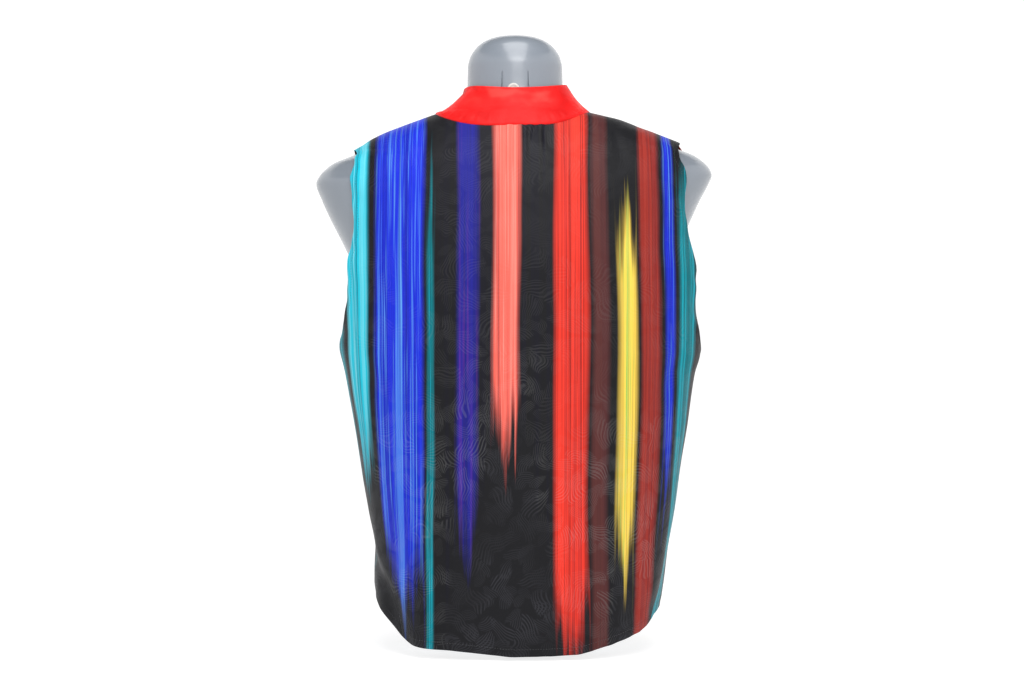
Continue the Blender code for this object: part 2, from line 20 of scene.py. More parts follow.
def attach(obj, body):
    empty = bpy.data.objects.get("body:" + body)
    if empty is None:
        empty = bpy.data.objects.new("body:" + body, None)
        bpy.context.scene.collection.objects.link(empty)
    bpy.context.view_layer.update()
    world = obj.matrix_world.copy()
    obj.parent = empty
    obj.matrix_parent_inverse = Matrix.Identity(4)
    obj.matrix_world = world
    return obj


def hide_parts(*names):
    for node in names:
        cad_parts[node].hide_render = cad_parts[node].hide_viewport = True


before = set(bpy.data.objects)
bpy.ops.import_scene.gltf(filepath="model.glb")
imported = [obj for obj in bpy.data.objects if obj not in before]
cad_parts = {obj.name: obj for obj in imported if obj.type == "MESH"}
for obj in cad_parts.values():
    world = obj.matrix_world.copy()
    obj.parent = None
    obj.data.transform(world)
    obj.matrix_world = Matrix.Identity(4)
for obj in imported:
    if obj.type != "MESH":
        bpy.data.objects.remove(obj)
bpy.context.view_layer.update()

LOG = logging.getLogger("waistcoat")
ROOT_BODY = "root"
CLOTH_MAP = "cloth"
EDGE_DISTANCE = "edge_distance"
SEAM_DISTANCE = "seam_distance"
HALF_TURN = math.pi
QUARTER_TURN = math.pi / 2
ROUND = 2.0
UP = np.array([0.0, 0.0, 1.0])
LEVEL = np.array([1.0, 1.0, 0.0])
BUTTON_HEIGHTS = (0.530, 0.440, 0.350, 0.260, 0.170)

Array = np.ndarray
Number = Union[float, int]
Pair = tuple[float, float]
Line = tuple[Array, Array]
Place = tuple[float, float, float]
Screen = tuple[int, int, int]
Shade = tuple[float, float, float, float]


class Facing(Enum):
    """Which way a panel of the body faces."""

    BACK = "back"
    FRONT = "front"


class Side(Enum):
    """A side of the garment, as seen from behind it."""

    LEFT = -1
    RIGHT = 1


def sides(left: float, right: float) -> dict[Side, float]:
    """A dataclass field that holds a size for each side."""
    return field(default_factory=lambda: {Side.LEFT: left, Side.RIGHT: right})


# The shared shape

# height, left half width, right half width, back depth, front depth, squareness
FORM_LEVELS = (
    (0.0000, 0.0840, 0.0840, 0.0580, 0.0610, 2.15),
    (0.0040, 0.0980, 0.0980, 0.0670, 0.0700, 2.18),
    (0.0120, 0.1150, 0.1150, 0.0755, 0.0780, 2.22),
    (0.0260, 0.1290, 0.1290, 0.0840, 0.0855, 2.26),
    (0.0500, 0.1375, 0.1375, 0.0880, 0.0895, 2.30),
    (0.1100, 0.1385, 0.1385, 0.0895, 0.0920, 2.30),
    (0.1800, 0.1405, 0.1405, 0.0915, 0.0950, 2.35),
    (0.2500, 0.1470, 0.1470, 0.0955, 0.1000, 2.40),
    (0.3100, 0.1550, 0.1550, 0.1015, 0.1060, 2.40),
    (0.3600, 0.1640, 0.1640, 0.1080, 0.1115, 2.40),
    (0.4050, 0.1740, 0.1720, 0.1135, 0.1145, 2.40),
    (0.4450, 0.1880, 0.1830, 0.1160, 0.1145, 2.35),
    (0.4800, 0.2040, 0.1960, 0.1155, 0.1115, 2.30),
    (0.5090, 0.2190, 0.2090, 0.1135, 0.1055, 2.25),
    (0.5350, 0.2310, 0.2210, 0.1105, 0.0975, 2.20),
    (0.5560, 0.2382, 0.2320, 0.1065, 0.0890, 2.15),
    (0.5660, 0.2335, 0.2358, 0.1040, 0.0840, 2.10),
    (0.5740, 0.2255, 0.2328, 0.1017, 0.0790, 2.10),
    (0.5800, 0.2170, 0.2275, 0.0997, 0.0757, 2.10),
    (0.5850, 0.2050, 0.2214, 0.0980, 0.0730, 2.10),
    (0.5900, 0.1925, 0.2130, 0.0960, 0.0705, 2.10),
    (0.5950, 0.1845, 0.2000, 0.0938, 0.0682, 2.10),
    (0.6000, 0.1770, 0.1870, 0.0915, 0.0663, 2.10),
    (0.6060, 0.1672, 0.1733, 0.0887, 0.0643, 2.10),
    (0.6120, 0.1555, 0.1603, 0.0858, 0.0625, 2.10),
    (0.6180, 0.1415, 0.1468, 0.0825, 0.0610, 2.08),
    (0.6240, 0.1268, 0.1350, 0.0788, 0.0598, 2.05),
    (0.6290, 0.1140, 0.1235, 0.0755, 0.0590, 2.02),
    (0.6330, 0.1040, 0.1090, 0.0728, 0.0585, 2.00),
    (0.6360, 0.0940, 0.0960, 0.0708, 0.0581, 2.00),
    (0.6400, 0.0805, 0.0810, 0.0680, 0.0578, 2.00),
    (0.6460, 0.0702, 0.0702, 0.0650, 0.0574, 2.00),
    (0.6530, 0.0633, 0.0633, 0.0622, 0.0570, 2.00),
    (0.6620, 0.0588, 0.0588, 0.0600, 0.0565, 2.00),
    (0.6700, 0.0571, 0.0571, 0.0590, 0.0560, 2.00),
    (0.6950, 0.0567, 0.0567, 0.0580, 0.0560, 2.00),
    (0.7070, 0.0540, 0.0540, 0.0552, 0.0530, 2.00),
    (0.7170, 0.0480, 0.0480, 0.0492, 0.0475, 2.00),
    (0.7250, 0.0390, 0.0390, 0.0402, 0.0385, 2.00),
    (0.7305, 0.0260, 0.0260, 0.0270, 0.0255, 2.00),
)

# height, left half width, right half width, back depth, front depth, squareness
HANGING_LEVELS = (
    (0.000, 0.1600, 0.1620, 0.1100, 0.1180, 2.45),
    (0.050, 0.1620, 0.1655, 0.1115, 0.1190, 2.45),
    (0.075, 0.1635, 0.1700, 0.1125, 0.1200, 2.45),
    (0.123, 0.1650, 0.1770, 0.1140, 0.1215, 2.40),
    (0.165, 0.1712, 0.1830, 0.1150, 0.1225, 2.40),
    (0.214, 0.1790, 0.1892, 0.1165, 0.1235, 2.40),
    (0.271, 0.1878, 0.1992, 0.1180, 0.1245, 2.40),
    (0.302, 0.1932, 0.2035, 0.1185, 0.1250, 2.40),
    (0.330, 0.1984, 0.2078, 0.1190, 0.1250, 2.40),
    (0.357, 0.2045, 0.2145, 0.1195, 0.1250, 2.35),
    (0.400, 0.2085, 0.2165, 0.1205, 0.1250, 2.30),
    (0.450, 0.2150, 0.2205, 0.1210, 0.1230, 2.25),
    (0.500, 0.2235, 0.2245, 0.1190, 0.1150, 2.20),
    (0.540, 0.2345, 0.2300, 0.1120, 0.0975, 2.18),
)

# share of the quarter turn, left climb, right climb
HEM_CLIMB = (
    (0.00, 0.00, 0.00),
    (0.23, 0.10, 0.05),
    (0.36, 0.12, 0.18),
    (0.47, 0.15, 0.29),
    (0.58, 0.28, 0.41),
    (0.68, 0.48, 0.53),
    (0.78, 0.70, 0.72),
    (0.90, 0.92, 0.93),
    (1.00, 1.00, 1.00),
)

# height, left degrees, right degrees
SIDE_SEAM_TURN = (
    (0.000, 39.0, 24.0),
    (0.030, 37.0, 21.0),
    (0.070, 28.0, 14.0),
    (0.095, 16.0, 8.0),
    (0.125, 2.0, 3.0),
    (0.170, 0.0, 0.0),
)

# share of the climb from underarm to shoulder tip, left back depth, right back depth, front depth
ARMHOLE_EDGE = (
    (0.00, 0.0000, 0.0000, 0.0000),
    (0.02, 0.0190, 0.0170, 0.0180),
    (0.07, 0.0360, 0.0310, 0.0340),
    (0.15, 0.0480, 0.0410, 0.0470),
    (0.27, 0.0580, 0.0480, 0.0570),
    (0.45, 0.0630, 0.0500, 0.0610),
    (0.65, 0.0695, 0.0540, 0.0580),
    (0.80, 0.0700, 0.0610, 0.0500),
    (0.90, 0.0635, 0.0610, 0.0400),
    (0.96, 0.0510, 0.0500, 0.0280),
    (0.99, 0.0280, 0.0250, 0.0140),
    (1.00, 0.0000, 0.0000, 0.0000),
)

# angle, half width in degrees, depth, height where it dies out, lean in degrees
FOLDS = (
    (-62.0, 11.0, -0.0026, 0.34, 7.0),
    (-36.0, 10.0, 0.0022, 0.30, -4.0),
    (24.0, 12.0, 0.0020, 0.28, 3.0),
    (52.0, 10.0, -0.0026, 0.34, -6.0),
    (-109.0, 11.0, 0.0052, 0.24, 9.0),
    (-130.0, 9.0, -0.0046, 0.36, -6.0),
    (-152.0, 9.0, 0.0050, 0.32, 5.0),
    (104.0, 11.0, 0.0048, 0.26, -9.0),
    (126.0, 9.0, -0.0046, 0.38, 6.0),
    (148.0, 9.0, 0.0050, 0.30, -5.0),
)

# x and height where it starts, the same where it ends, half width, depth: below nought is a trough
CREASES = {
    Facing.BACK: (
        (-0.0035, 0.616, -0.0060, 0.583, 0.0021, -0.0014),
        (0.0110, 0.616, 0.0120, 0.576, 0.0024, -0.0017),
        (0.0215, 0.616, 0.0175, 0.590, 0.0020, -0.0013),
        (0.0330, 0.615, 0.0350, 0.586, 0.0026, -0.0013),
        (-0.101, 0.628, -0.104, 0.588, 0.0050, -0.0016),
        (-0.116, 0.620, -0.121, 0.560, 0.0070, 0.0008),
        (0.112, 0.622, 0.126, 0.570, 0.0060, -0.0010),
        (0.150, 0.606, 0.172, 0.540, 0.0070, -0.0011),
        (-0.160, 0.590, -0.150, 0.500, 0.0080, -0.0009),
        (0.176, 0.520, 0.160, 0.430, 0.0090, -0.0010),
        (-0.186, 0.372, -0.150, 0.300, 0.0090, -0.0013),
        (-0.190, 0.352, -0.172, 0.262, 0.0070, 0.0009),
        (0.194, 0.360, 0.158, 0.290, 0.0090, -0.0012),
        (-0.060, 0.520, 0.050, 0.505, 0.0160, -0.0007),
        (-0.146, 0.190, -0.130, 0.060, 0.0080, -0.0012),
        (0.156, 0.180, 0.136, 0.060, 0.0090, -0.0011),
        (0.060, 0.140, 0.066, 0.030, 0.0100, -0.0008),
        (-0.052, 0.120, -0.058, 0.020, 0.0090, 0.0008),
    ),
    Facing.FRONT: (
        (-0.180, 0.370, -0.120, 0.300, 0.0090, -0.0013),
        (0.182, 0.362, 0.118, 0.318, 0.0100, -0.0013),
        (-0.112, 0.600, -0.140, 0.520, 0.0080, -0.0011),
        (0.108, 0.602, 0.132, 0.500, 0.0080, -0.0012),
        (-0.020, 0.350, -0.070, 0.320, 0.0080, -0.0010),
        (0.022, 0.262, 0.080, 0.228, 0.0090, -0.0010),
        (-0.022, 0.172, -0.084, 0.150, 0.0080, -0.0010),
        (0.020, 0.442, 0.070, 0.470, 0.0080, -0.0009),
    ),
}

# weight, rates along x, y and height, phase
RIPPLES = (
    (1.0, 61, 3, 17, 0.0),
    (0.7, 97, 0, -23, 1.7),
    (0.6, 29, 0, 38, 0.4),
    (0.4, 143, 0, 31, 2.6),
)

# weight, rate, phase
HEM_WAVES = ((1.0, 236, 0.0), (0.8, 149, 2.1), (0.5, 371, 0.6))


def smooth(share: Array) -> Array:
    """Eases a share from 0 to 1 at both ends."""
    share = np.clip(share, 0.0, 1.0)
    return share * share * (3 - 2 * share)


def blend(first: Array, second: Array, share: Array) -> Array:
    """Moves from the first value to the second by a share."""
    return first + (second - first) * share


def signed_power(value: Array, power: Array) -> Array:
    """Raises a value's size to a power and keeps its sign."""
    return np.sign(value) * np.abs(value) ** power


def unit(vectors: Array) -> Array:
    """The vectors at a length of one."""
    return vectors / np.linalg.norm(vectors, axis=-1, keepdims=True)


def steps_along(points: Array, axis: int = 0) -> Array:
    """The length of each step between neighbours along an axis of a grid of points."""
    return np.linalg.norm(np.diff(points, axis=axis), axis=-1)


def run_along(points: Array, axis: int = 0) -> Array:
    """The length from the first point along an axis of a grid of points, from nought."""
    steps = steps_along(points, axis)
    return np.concatenate([np.zeros_like(np.take(steps, [0], axis)), np.cumsum(steps, axis=axis)], axis=axis)


def waves(rows: Sequence[Sequence[float]], run: Array) -> Array:
    """The sum of the sine waves of a table, weight, rate and phase, at places along a run."""
    return sum(weight * np.sin(rate * run + phase) for weight, rate, phase in rows)


def side_size(sizes: dict[Side, float], across: Array) -> Array:
    """The size for the side on which each place lies."""
    return np.where(across > 0, sizes[Side.RIGHT], sizes[Side.LEFT])


def round_size(sizes: dict[Side, float], turn: Array) -> Array:
    """The size at turns round the neck, eased from one side's to the other's."""
    return blend(sizes[Side.LEFT], sizes[Side.RIGHT], (1 + np.sin(turn)) / 2)


class Profile:
    """A table read as smooth curves over its first column, which never overshoot its rows."""

    def __init__(self, rows: Sequence[Sequence[float]]) -> None:
        """Works the slopes out.

        Args:
            rows: The table's rows, lowest first.
        """
        table = np.array(rows, float)
        self.places = table[:, 0]
        self.values = table[:, 1:]
        steps = np.diff(self.values, axis=0) / np.diff(self.places)[:, None]
        first, second = steps[:-1], steps[1:]
        total = np.where(first + second == 0, 1.0, first + second)
        inner = np.where(first * second <= 0, 0.0, 2 * first * second / total)
        self.slopes = np.vstack([steps[:1], inner, steps[-1:]])

    def at(self, place: Array) -> list[Array]:
        """Reads every column at a place.

        Args:
            place: One place or an array of them.

        Returns:
            One array for each column, shaped like the places.
        """
        place = np.clip(np.asarray(place, float), self.places[0], self.places[-1])
        i = np.clip(np.searchsorted(self.places, place, side="right") - 1, 0, len(self.places) - 2)
        span = self.places[i + 1] - self.places[i]
        t = (place - self.places[i]) / span
        start, start_slope = 2 * t**3 - 3 * t**2 + 1, t**3 - 2 * t**2 + t
        end, end_slope = 3 * t**2 - 2 * t**3, t**3 - t**2
        return [
            start * v[i] + start_slope * span * m[i] + end * v[i + 1] + end_slope * span * m[i + 1]
            for v, m in zip(self.values.T, self.slopes.T)
        ]


@dataclass
class WornSurface:
    """The surface that the cloth follows: its own where it hangs, the form's on the shoulders."""

    hangs_below: float = 0.450
    rests_above: float = 0.540
    rest_gap: float = 0.0013
    cap_ease: dict[Side, float] = sides(0.0020, 0.0048)
    cap_ease_from: float = 0.100
    cap_ease_width: float = 0.085
    normal_reach: Pair = (0.02, 0.0015)
    shoulder_range: Pair = (0.50, 0.66)
    halvings: int = 40
    form: Profile = field(default_factory=lambda: Profile(FORM_LEVELS))
    hanging: Profile = field(default_factory=lambda: Profile(HANGING_LEVELS))

    def section(self, height: Array) -> list[Array]:
        """The left and right half widths, back and front depths and squareness at a height."""
        resting = smooth((height - self.hangs_below) / (self.rests_above - self.hangs_below))
        return [blend(a, b, resting) for a, b in zip(self.hanging.at(height), self.form.at(height))]

    @staticmethod
    def section_point(section: Sequence[Array], angle: Array, height: Array) -> Array:
        """The points of a section.

        Args:
            section: Its half widths, depths and squareness.
            angle: Angles from the back centre.
            height: Its height.

        Returns:
            An array of x, y, z.
        """
        left, right, back, front, square = section
        across, depth = np.sin(angle), np.cos(angle)
        x = np.where(across > 0, right, left) * signed_power(across, 2 / square)
        y = -np.where(depth > 0, back, front) * signed_power(depth, 2 / square)
        return np.stack(np.broadcast_arrays(x, y, height), axis=-1)

    def point(self, angle: Array, height: Array) -> Array:
        """The points of the worn surface at angles and heights."""
        return self.section_point(self.section(height), angle, height)

    def normal(self, angle: Array, height: Array) -> Array:
        """The outward directions of the worn surface.

        Args:
            angle: Angles from the back centre.
            height: Heights.

        Returns:
            The directions, each of length one.
        """
        turn, rise = self.normal_reach
        around = self.point(angle + turn, height) - self.point(angle - turn, height)
        upward = self.point(angle, height + rise) - self.point(angle, height - rise)
        return unit(np.cross(around, upward))

    def ease(self, x: Array) -> Array:
        """How far the cloth's inner face stands off the worn surface."""
        out = smooth((np.abs(x) - self.cap_ease_from) / self.cap_ease_width)
        return self.rest_gap + side_size(self.cap_ease, x) * out

    def place_in_form(self, x: Array, y: Array, height: Array) -> tuple[Array, Array]:
        """Where places lie in the form's own sections.

        Args:
            x: How far across they lie.
            y: How far to the front they lie.
            height: Their heights.

        Returns:
            Their angles from the back centre, and how far out they lie: 1 is on the form.
        """
        left, right, back, front, square = self.form.at(height)
        across = signed_power(x / np.where(x < 0, left, right), square / 2)
        along = signed_power(-y / np.where(y < 0, back, front), square / 2)
        return np.arctan2(across, along), (across**2 + along**2) ** (1 / square)

    def height_over(self, x: Array, y: Array) -> Array:
        """The height of the form's shoulders over places seen from above.

        Args:
            x: How far across they lie.
            y: How far to the front they lie.

        Returns:
            The heights.
        """
        low, high = (np.full(np.shape(x), end) for end in self.shoulder_range)
        for _ in range(self.halvings):
            middle = (low + high) / 2
            inside = self.place_in_form(x, y, middle)[1] < 1
            low, high = np.where(inside, middle, low), np.where(inside, high, middle)
        return (low + high) / 2


@dataclass
class Neckline:
    """The seam line of the collar, seen from above."""

    surface: WornSurface
    half_width: dict[Side, float] = sides(0.0950, 0.0890)
    back_depth: float = 0.0830
    front_depth: float = 0.0850
    squareness: float = 2.8

    def spot(self, turn: Array) -> tuple[Array, Array]:
        """Finds the seam line on the worn surface.

        Args:
            turn: Turns from the back centre, seen from above.

        Returns:
            The angles from the back centre and the heights.
        """
        across, depth = np.sin(turn), np.cos(turn)
        x = side_size(self.half_width, across) * signed_power(across, 2 / self.squareness)
        full_depth = np.where(depth > 0, self.back_depth, self.front_depth)
        y = -full_depth * signed_power(depth, 2 / self.squareness)
        height = self.surface.height_over(x, y)
        return self.surface.place_in_form(x, y, height)[0], height

    def turn_at(self, x: float, side: Side) -> float:
        """The turn from a panel's centre at which the neckline is this far across, on one side."""
        return math.asin((x / self.half_width[side]) ** (self.squareness / 2))


@dataclass
class Drape:
    """The folds, creases and gathers that push the cloth out of its plain sections."""

    seam_valley: dict[Side, float] = sides(0.0048, 0.0028)
    seam_valley_width: float = 9.0
    seam_valley_top: float = 0.21
    seam_valley_fade: float = 0.13
    gather_depth: float = 0.0016
    gather_pitch: float = 0.0120
    gather_start: float = -0.0125
    gather_count: int = 4
    gather_fade: float = 0.024
    ripple: float = 0.00035
    crease_end: float = 0.25
    crease_taper: Pair = (0.02, 0.98)
    edge_wave: float = 0.00042
    edge_wave_run: Place = (1.0, 0.4, 0.83)
    edge_wave_reach: float = 0.016
    seam_turn: Profile = field(default_factory=lambda: Profile(SIDE_SEAM_TURN))

    def seam_angle(self, side: Side, height: Array) -> Array:
        """The side seam's angle from the back centre."""
        left, right = self.seam_turn.at(height)
        return np.radians(90 - (right if side is Side.RIGHT else left))

    def folds(self, side: Side, angle: Array, height: Array) -> Array:
        """The long soft folds and the valley along the side seam.

        Args:
            side: The side of the garment.
            angle: Angles from the back centre.
            height: Heights.

        Returns:
            How far the cloth stands out.
        """
        degrees = np.degrees(angle)
        total = np.zeros(np.broadcast(angle, height).shape)
        for centre, half_width, depth, top, lean in FOLDS:
            away = (degrees - centre - lean * height / top + 180) % 360 - 180
            total += depth * np.exp(-((away / half_width) ** 2)) * smooth((top - height) / top)
        away = np.abs(degrees) - np.degrees(self.seam_angle(side, height))
        valley = np.exp(-((away / self.seam_valley_width) ** 2))
        fade = smooth((self.seam_valley_top - height) / self.seam_valley_fade)
        return total - self.seam_valley[side] * valley * fade

    def gathers(self, x: Array, drop: Array) -> Array:
        """The gathers that spring from the back neck seam and die out below it.

        Args:
            x: How far across the points lie.
            drop: How far below the seam they lie.

        Returns:
            How far the cloth stands out.
        """
        turns = (x - self.gather_start) / self.gather_pitch
        inside = (turns > 0) & (turns < self.gather_count)
        wave = np.sin(np.pi * turns) ** 2 * np.exp(-np.maximum(drop, 0) / self.gather_fade)
        return np.where(inside, self.gather_depth * wave, 0.0)

    def creases(self, facing: Facing, points: Array) -> Array:
        """The listed troughs and ridges, which taper to both ends.

        Args:
            facing: The panel's facing.
            points: Points on it.

        Returns:
            How far the cloth stands out.
        """
        total = np.zeros(points.shape[:-1])
        flat = points[..., (0, 2)]
        for x0, z0, x1, z1, half_width, depth in CREASES[facing]:
            start, line = np.array((x0, z0)), np.array((x1, z1)) - np.array((x0, z0))
            along = np.clip(((flat - start) @ line) / (line @ line), 0, 1)
            away = np.linalg.norm(flat - start - along[..., None] * line, axis=-1)
            middle = np.sin(np.pi * np.clip(along, *self.crease_taper))
            taper = self.crease_end + (1 - self.crease_end) * middle
            total += depth * taper * np.exp(-((away / half_width) ** 2))
        return total

    def ripples(self, points: Array) -> Array:
        """The slight unevenness of light silk that hangs free."""
        rows = (weight * np.sin(points @ np.array(rates) + phase) for weight, *rates, phase in RIPPLES)
        return self.ripple * sum(rows)

    def edge_waves(self, points: Array, distance: Array) -> Array:
        """The uneven little waves along a stitched hem, which die out away from it."""
        run = points @ np.array(self.edge_wave_run)
        return self.edge_wave * waves(HEM_WAVES, run) * np.exp(-((distance / self.edge_wave_reach) ** 2))


@dataclass
class CutEdges:
    """Where the garment is cut: its hem, side seams, armholes and shoulder seams."""

    drape: Drape
    underarm: dict[Side, float] = sides(0.362, 0.354)
    shoulder_tip: dict[Side, float] = sides(0.5915, 0.5978)
    hem_back: float = 0.0045
    hem_front: float = 0.0100
    corner_tries: int = 20
    hem_side: dict[Side, float] = sides(0.0680, 0.0530)
    climb: Profile = field(default_factory=lambda: Profile(HEM_CLIMB))
    armhole: Profile = field(default_factory=lambda: Profile(ARMHOLE_EDGE))

    def hem_height(self, side: Side, angle: Array) -> Array:
        """The hem's height.

        Args:
            side: The side of the garment.
            angle: Angles from the back centre, from 0 to a half turn.

        Returns:
            The heights.
        """
        share = np.degrees(angle) / 90
        centre = np.where(share > 1, self.hem_front, self.hem_back)
        left, right = self.climb.at(np.where(share > 1, 2 - share, share))
        return blend(centre, self.hem_side[side], right if side is Side.RIGHT else left)

    def corner(self, side: Side) -> float:
        """Finds where the side seam meets the hem.

        Args:
            side: The side of the garment.

        Returns:
            The height.
        """
        height = self.hem_side[side]
        for _ in range(self.corner_tries):
            height = float(self.hem_height(side, self.drape.seam_angle(side, height)))
        return height

    def armhole_depth(self, facing: Facing, side: Side, climb: Array) -> Array:
        """How far behind or before the side line the armhole's edge lies, by shares of its climb."""
        left_back, right_back, front = self.armhole.at(climb)
        return front if facing is Facing.FRONT else right_back if side is Side.RIGHT else left_back


@dataclass
class Cutter:
    """Lays a cut piece of the body out in stations, from its centre line to its outer edge."""

    facing: Facing
    underarm_height: float
    tip_height: float
    lap: float
    surface: WornSurface
    neckline: Neckline
    edges: CutEdges
    side_rows: int = 9
    armhole_rows: int = 13
    shoulder_rows: int = 8
    tip_arrival: float = 2.5

    def rows(self, side: int, armhole: int, shoulder: int) -> Array:
        """Places up the piece.

        Args:
            side: How many steps run along the side seam.
            armhole: How many run along the armhole.
            shoulder: How many run along the shoulder seam.

        Returns:
            The places, in the cutter's own rows.
        """
        tip = self.side_rows + self.armhole_rows
        parts = (
            np.linspace(0, self.side_rows, side + 1),
            np.linspace(self.side_rows, tip, armhole + 1)[1:],
            np.linspace(tip, tip + self.shoulder_rows, shoulder + 1)[1:],
        )
        return np.concatenate(parts)

    def from_centre(self, side: Side, angle: Array) -> Array:
        """Turns an angle from the back centre into one from this panel's centre, growing outwards."""
        from_front = (2 * HALF_TURN - side.value * angle) % (2 * HALF_TURN) - HALF_TURN
        return side.value * angle if self.facing is Facing.BACK else from_front

    def neck(self, side: Side, turn: Array) -> tuple[Array, Array]:
        """The neckline on this panel."""
        seen = turn if self.facing is Facing.BACK else HALF_TURN - turn
        angle, height = self.neckline.spot(side.value * seen)
        return self.from_centre(side, angle), height

    def lap_angle(self, height: Array) -> Array:
        """How far past the front centre the lapped edge lies."""
        left, _, _, _, square = self.surface.section(height)
        return -np.arcsin((self.lap / left) ** (square / 2)) if self.lap else 0.0 * height

    def edge(self, side: Side, row: Array) -> tuple[Array, Array]:
        """The outer edge's angle from the panel's centre and its height.

        Args:
            side: The side of the garment.
            row: Places up the piece.

        Returns:
            The angles and the heights.
        """
        edges, tip_row = self.edges, self.side_rows + self.armhole_rows
        seam_height = blend(edges.corner(side), edges.underarm[side], np.minimum(row / self.side_rows, 1))
        seam_turn = edges.drape.seam_angle(side, seam_height)
        seam_turn = seam_turn if self.facing is Facing.BACK else HALF_TURN - seam_turn
        climb = (1 - np.cos(HALF_TURN * np.clip((row - self.side_rows) / self.armhole_rows, 0, 1))) / 2
        hole_height = blend(edges.underarm[side], edges.shoulder_tip[side], climb)
        _, _, back, front, square = self.surface.section(hole_height)
        full = back if self.facing is Facing.BACK else front
        depth = np.maximum(edges.armhole_depth(self.facing, side, climb), 0)
        hole_turn = np.arccos(np.minimum(1, (depth / full) ** (square / 2)))
        _, neck_point = self.neckline.spot(np.array(side.value * QUARTER_TURN))
        rise = np.clip((row - tip_row) / self.shoulder_rows, 0, 1)
        shoulder = blend(edges.shoulder_tip[side], neck_point, rise)
        angle = np.where(row < tip_row, hole_turn, QUARTER_TURN)
        height = np.where(row < tip_row, hole_height, shoulder)
        on_seam = row <= self.side_rows
        return np.where(on_seam, seam_turn, angle), np.where(on_seam, seam_height, height)

    def stations(self, side: Side, share: Array, row: Array) -> tuple[Array, Array, float]:
        """Angles from the back centre and heights over a whole half of the panel.

        Args:
            side: The side of the garment.
            share: Shares of the half width, from 0 at the centre line to 1 at the outer edge.
            row: Places up the piece.

        Returns:
            The angles, the heights, both by row and share, and the neckline's lowest height.
        """
        row, share = row[:, None], share[None, :]
        tip_row = self.side_rows + self.armhole_rows
        edge_angle, edge_height = self.edge(side, row)
        lap_turn = -self.neckline.turn_at(self.lap, Side(-side.value))
        neck_angle, neck_height = self.neck(side, blend(lap_turn, QUARTER_TURN, share))
        neck_start, neck_centre = (float(value) for value in self.neck(side, np.array(lap_turn)))
        above = np.maximum(0, row - self.side_rows)
        centre_height = blend(self.underarm_height, self.tip_height, np.minimum(1, above / self.armhole_rows))
        rise = np.clip((row - tip_row) / self.shoulder_rows, 0, 1)
        start = blend(self.lap_angle(centre_height), neck_start, rise)
        neck_share = (neck_angle - neck_start) / (QUARTER_TURN - neck_start)
        spread = blend(share, neck_share, smooth(above / (self.armhole_rows + self.shoulder_rows)))
        angle = blend(start, edge_angle, spread)

        from_back = angle if self.facing is Facing.BACK else HALF_TURN - angle
        bottom = self.edges.hem_height(side, np.minimum(from_back, HALF_TURN))
        top = blend(self.underarm_height, self.edges.underarm[side], share**2)
        low = blend(bottom, top, row / self.side_rows)
        arrival = 1 - (1 - share) ** self.tip_arrival
        early = np.minimum(1, above / self.armhole_rows) ** 3
        middle = blend(centre_height, edge_height, blend(share**2, arrival, early))
        high = blend(blend(self.tip_height, self.edges.shoulder_tip[side], arrival), neck_height, rise)
        height = np.where(row <= self.side_rows, low, np.where(row < tip_row, middle, high))
        turned = angle if self.facing is Facing.BACK else HALF_TURN - angle
        return side.value * turned, height, neck_centre


@dataclass
class Grain:
    """Reads how far along the cloth a place lies, so that the print runs with the thread."""

    surface: WornSurface
    by_angle_below: float = 0.42
    by_width_above: float = 0.50
    front_centre: float = 0.48
    height_steps: int = 47
    turn_steps: int = 721

    def __post_init__(self) -> None:
        """Measures the sections once, from the back centre round each side to the front centre."""
        self.heights = np.linspace(0, self.by_width_above, self.height_steps)
        self.turns = np.linspace(0, HALF_TURN, self.turn_steps)
        self.arcs: dict[Side, Array] = {}
        self.widths: dict[Side, Array] = {}
        for side in Side:
            ring = self.surface.point(side.value * self.turns[None, :], self.heights[:, None])
            self.arcs[side] = run_along(ring, axis=1)
            self.widths[side] = np.abs(ring[-1, :, 0])

    def around(self, side: Side, turn: Array, height: Array) -> Array:
        """The length along the sections from the back centre.

        Args:
            side: The side of the garment.
            turn: Turns from the back centre.
            height: Heights of the sections.

        Returns:
            The lengths.
        """
        level = np.clip(height / self.by_width_above, 0, 1) * (self.height_steps - 1)
        place = np.clip(turn / HALF_TURN, 0, 1) * (self.turn_steps - 1)
        i = np.minimum(level.astype(int), self.height_steps - 2)
        j = np.minimum(place.astype(int), self.turn_steps - 2)
        up, along, arc = level - i, place - j, self.arcs[side]
        lower = blend(arc[i, j], arc[i, j + 1], along)
        return blend(lower, blend(arc[i + 1, j], arc[i + 1, j + 1], along), up)

    def across(self, side: Side, facing: Facing, turn: Array, points: Array) -> Array:
        """The print's coordinate across the cloth.

        Args:
            side: The side of the garment.
            facing: The panel's facing.
            turn: Turns from the back centre, without their sign.
            points: The points at those turns.

        Returns:
            Metres from the back centre, or for a front from its own start, with the side's sign.
        """
        half, width = self.turn_steps // 2 + 1, np.abs(points[..., 0])
        whole = self.around(side, np.full(turn.shape, HALF_TURN), points[..., 2])
        by_angle = self.around(side, turn, points[..., 2])
        if facing is Facing.BACK:
            by_width = np.interp(width, self.widths[side][:half], self.arcs[side][-1, :half])
        else:
            lapped = turn > HALF_TURN
            by_angle = self.front_centre - whole + by_angle + np.where(lapped, width, 0)
            from_centre = self.arcs[side][-1, -1] - self.arcs[side][-1, ::-1][:half]
            by_width = np.interp(width, self.widths[side][::-1][:half], from_centre)
            by_width = self.front_centre - np.where(lapped, -by_width, by_width)
        share = smooth((points[..., 2] - self.by_angle_below) / (self.by_width_above - self.by_angle_below))
        return side.value * blend(by_angle, by_width, share)

    @staticmethod
    def upward(points: Array, across: Array) -> Array:
        """The print's coordinate up the cloth."""
        climbed = np.sqrt(np.maximum(steps_along(points) ** 2 - np.diff(across, axis=0) ** 2, 0))
        return np.vstack([points[:1, :, 2], points[0, :, 2] + np.cumsum(climbed, axis=0)])


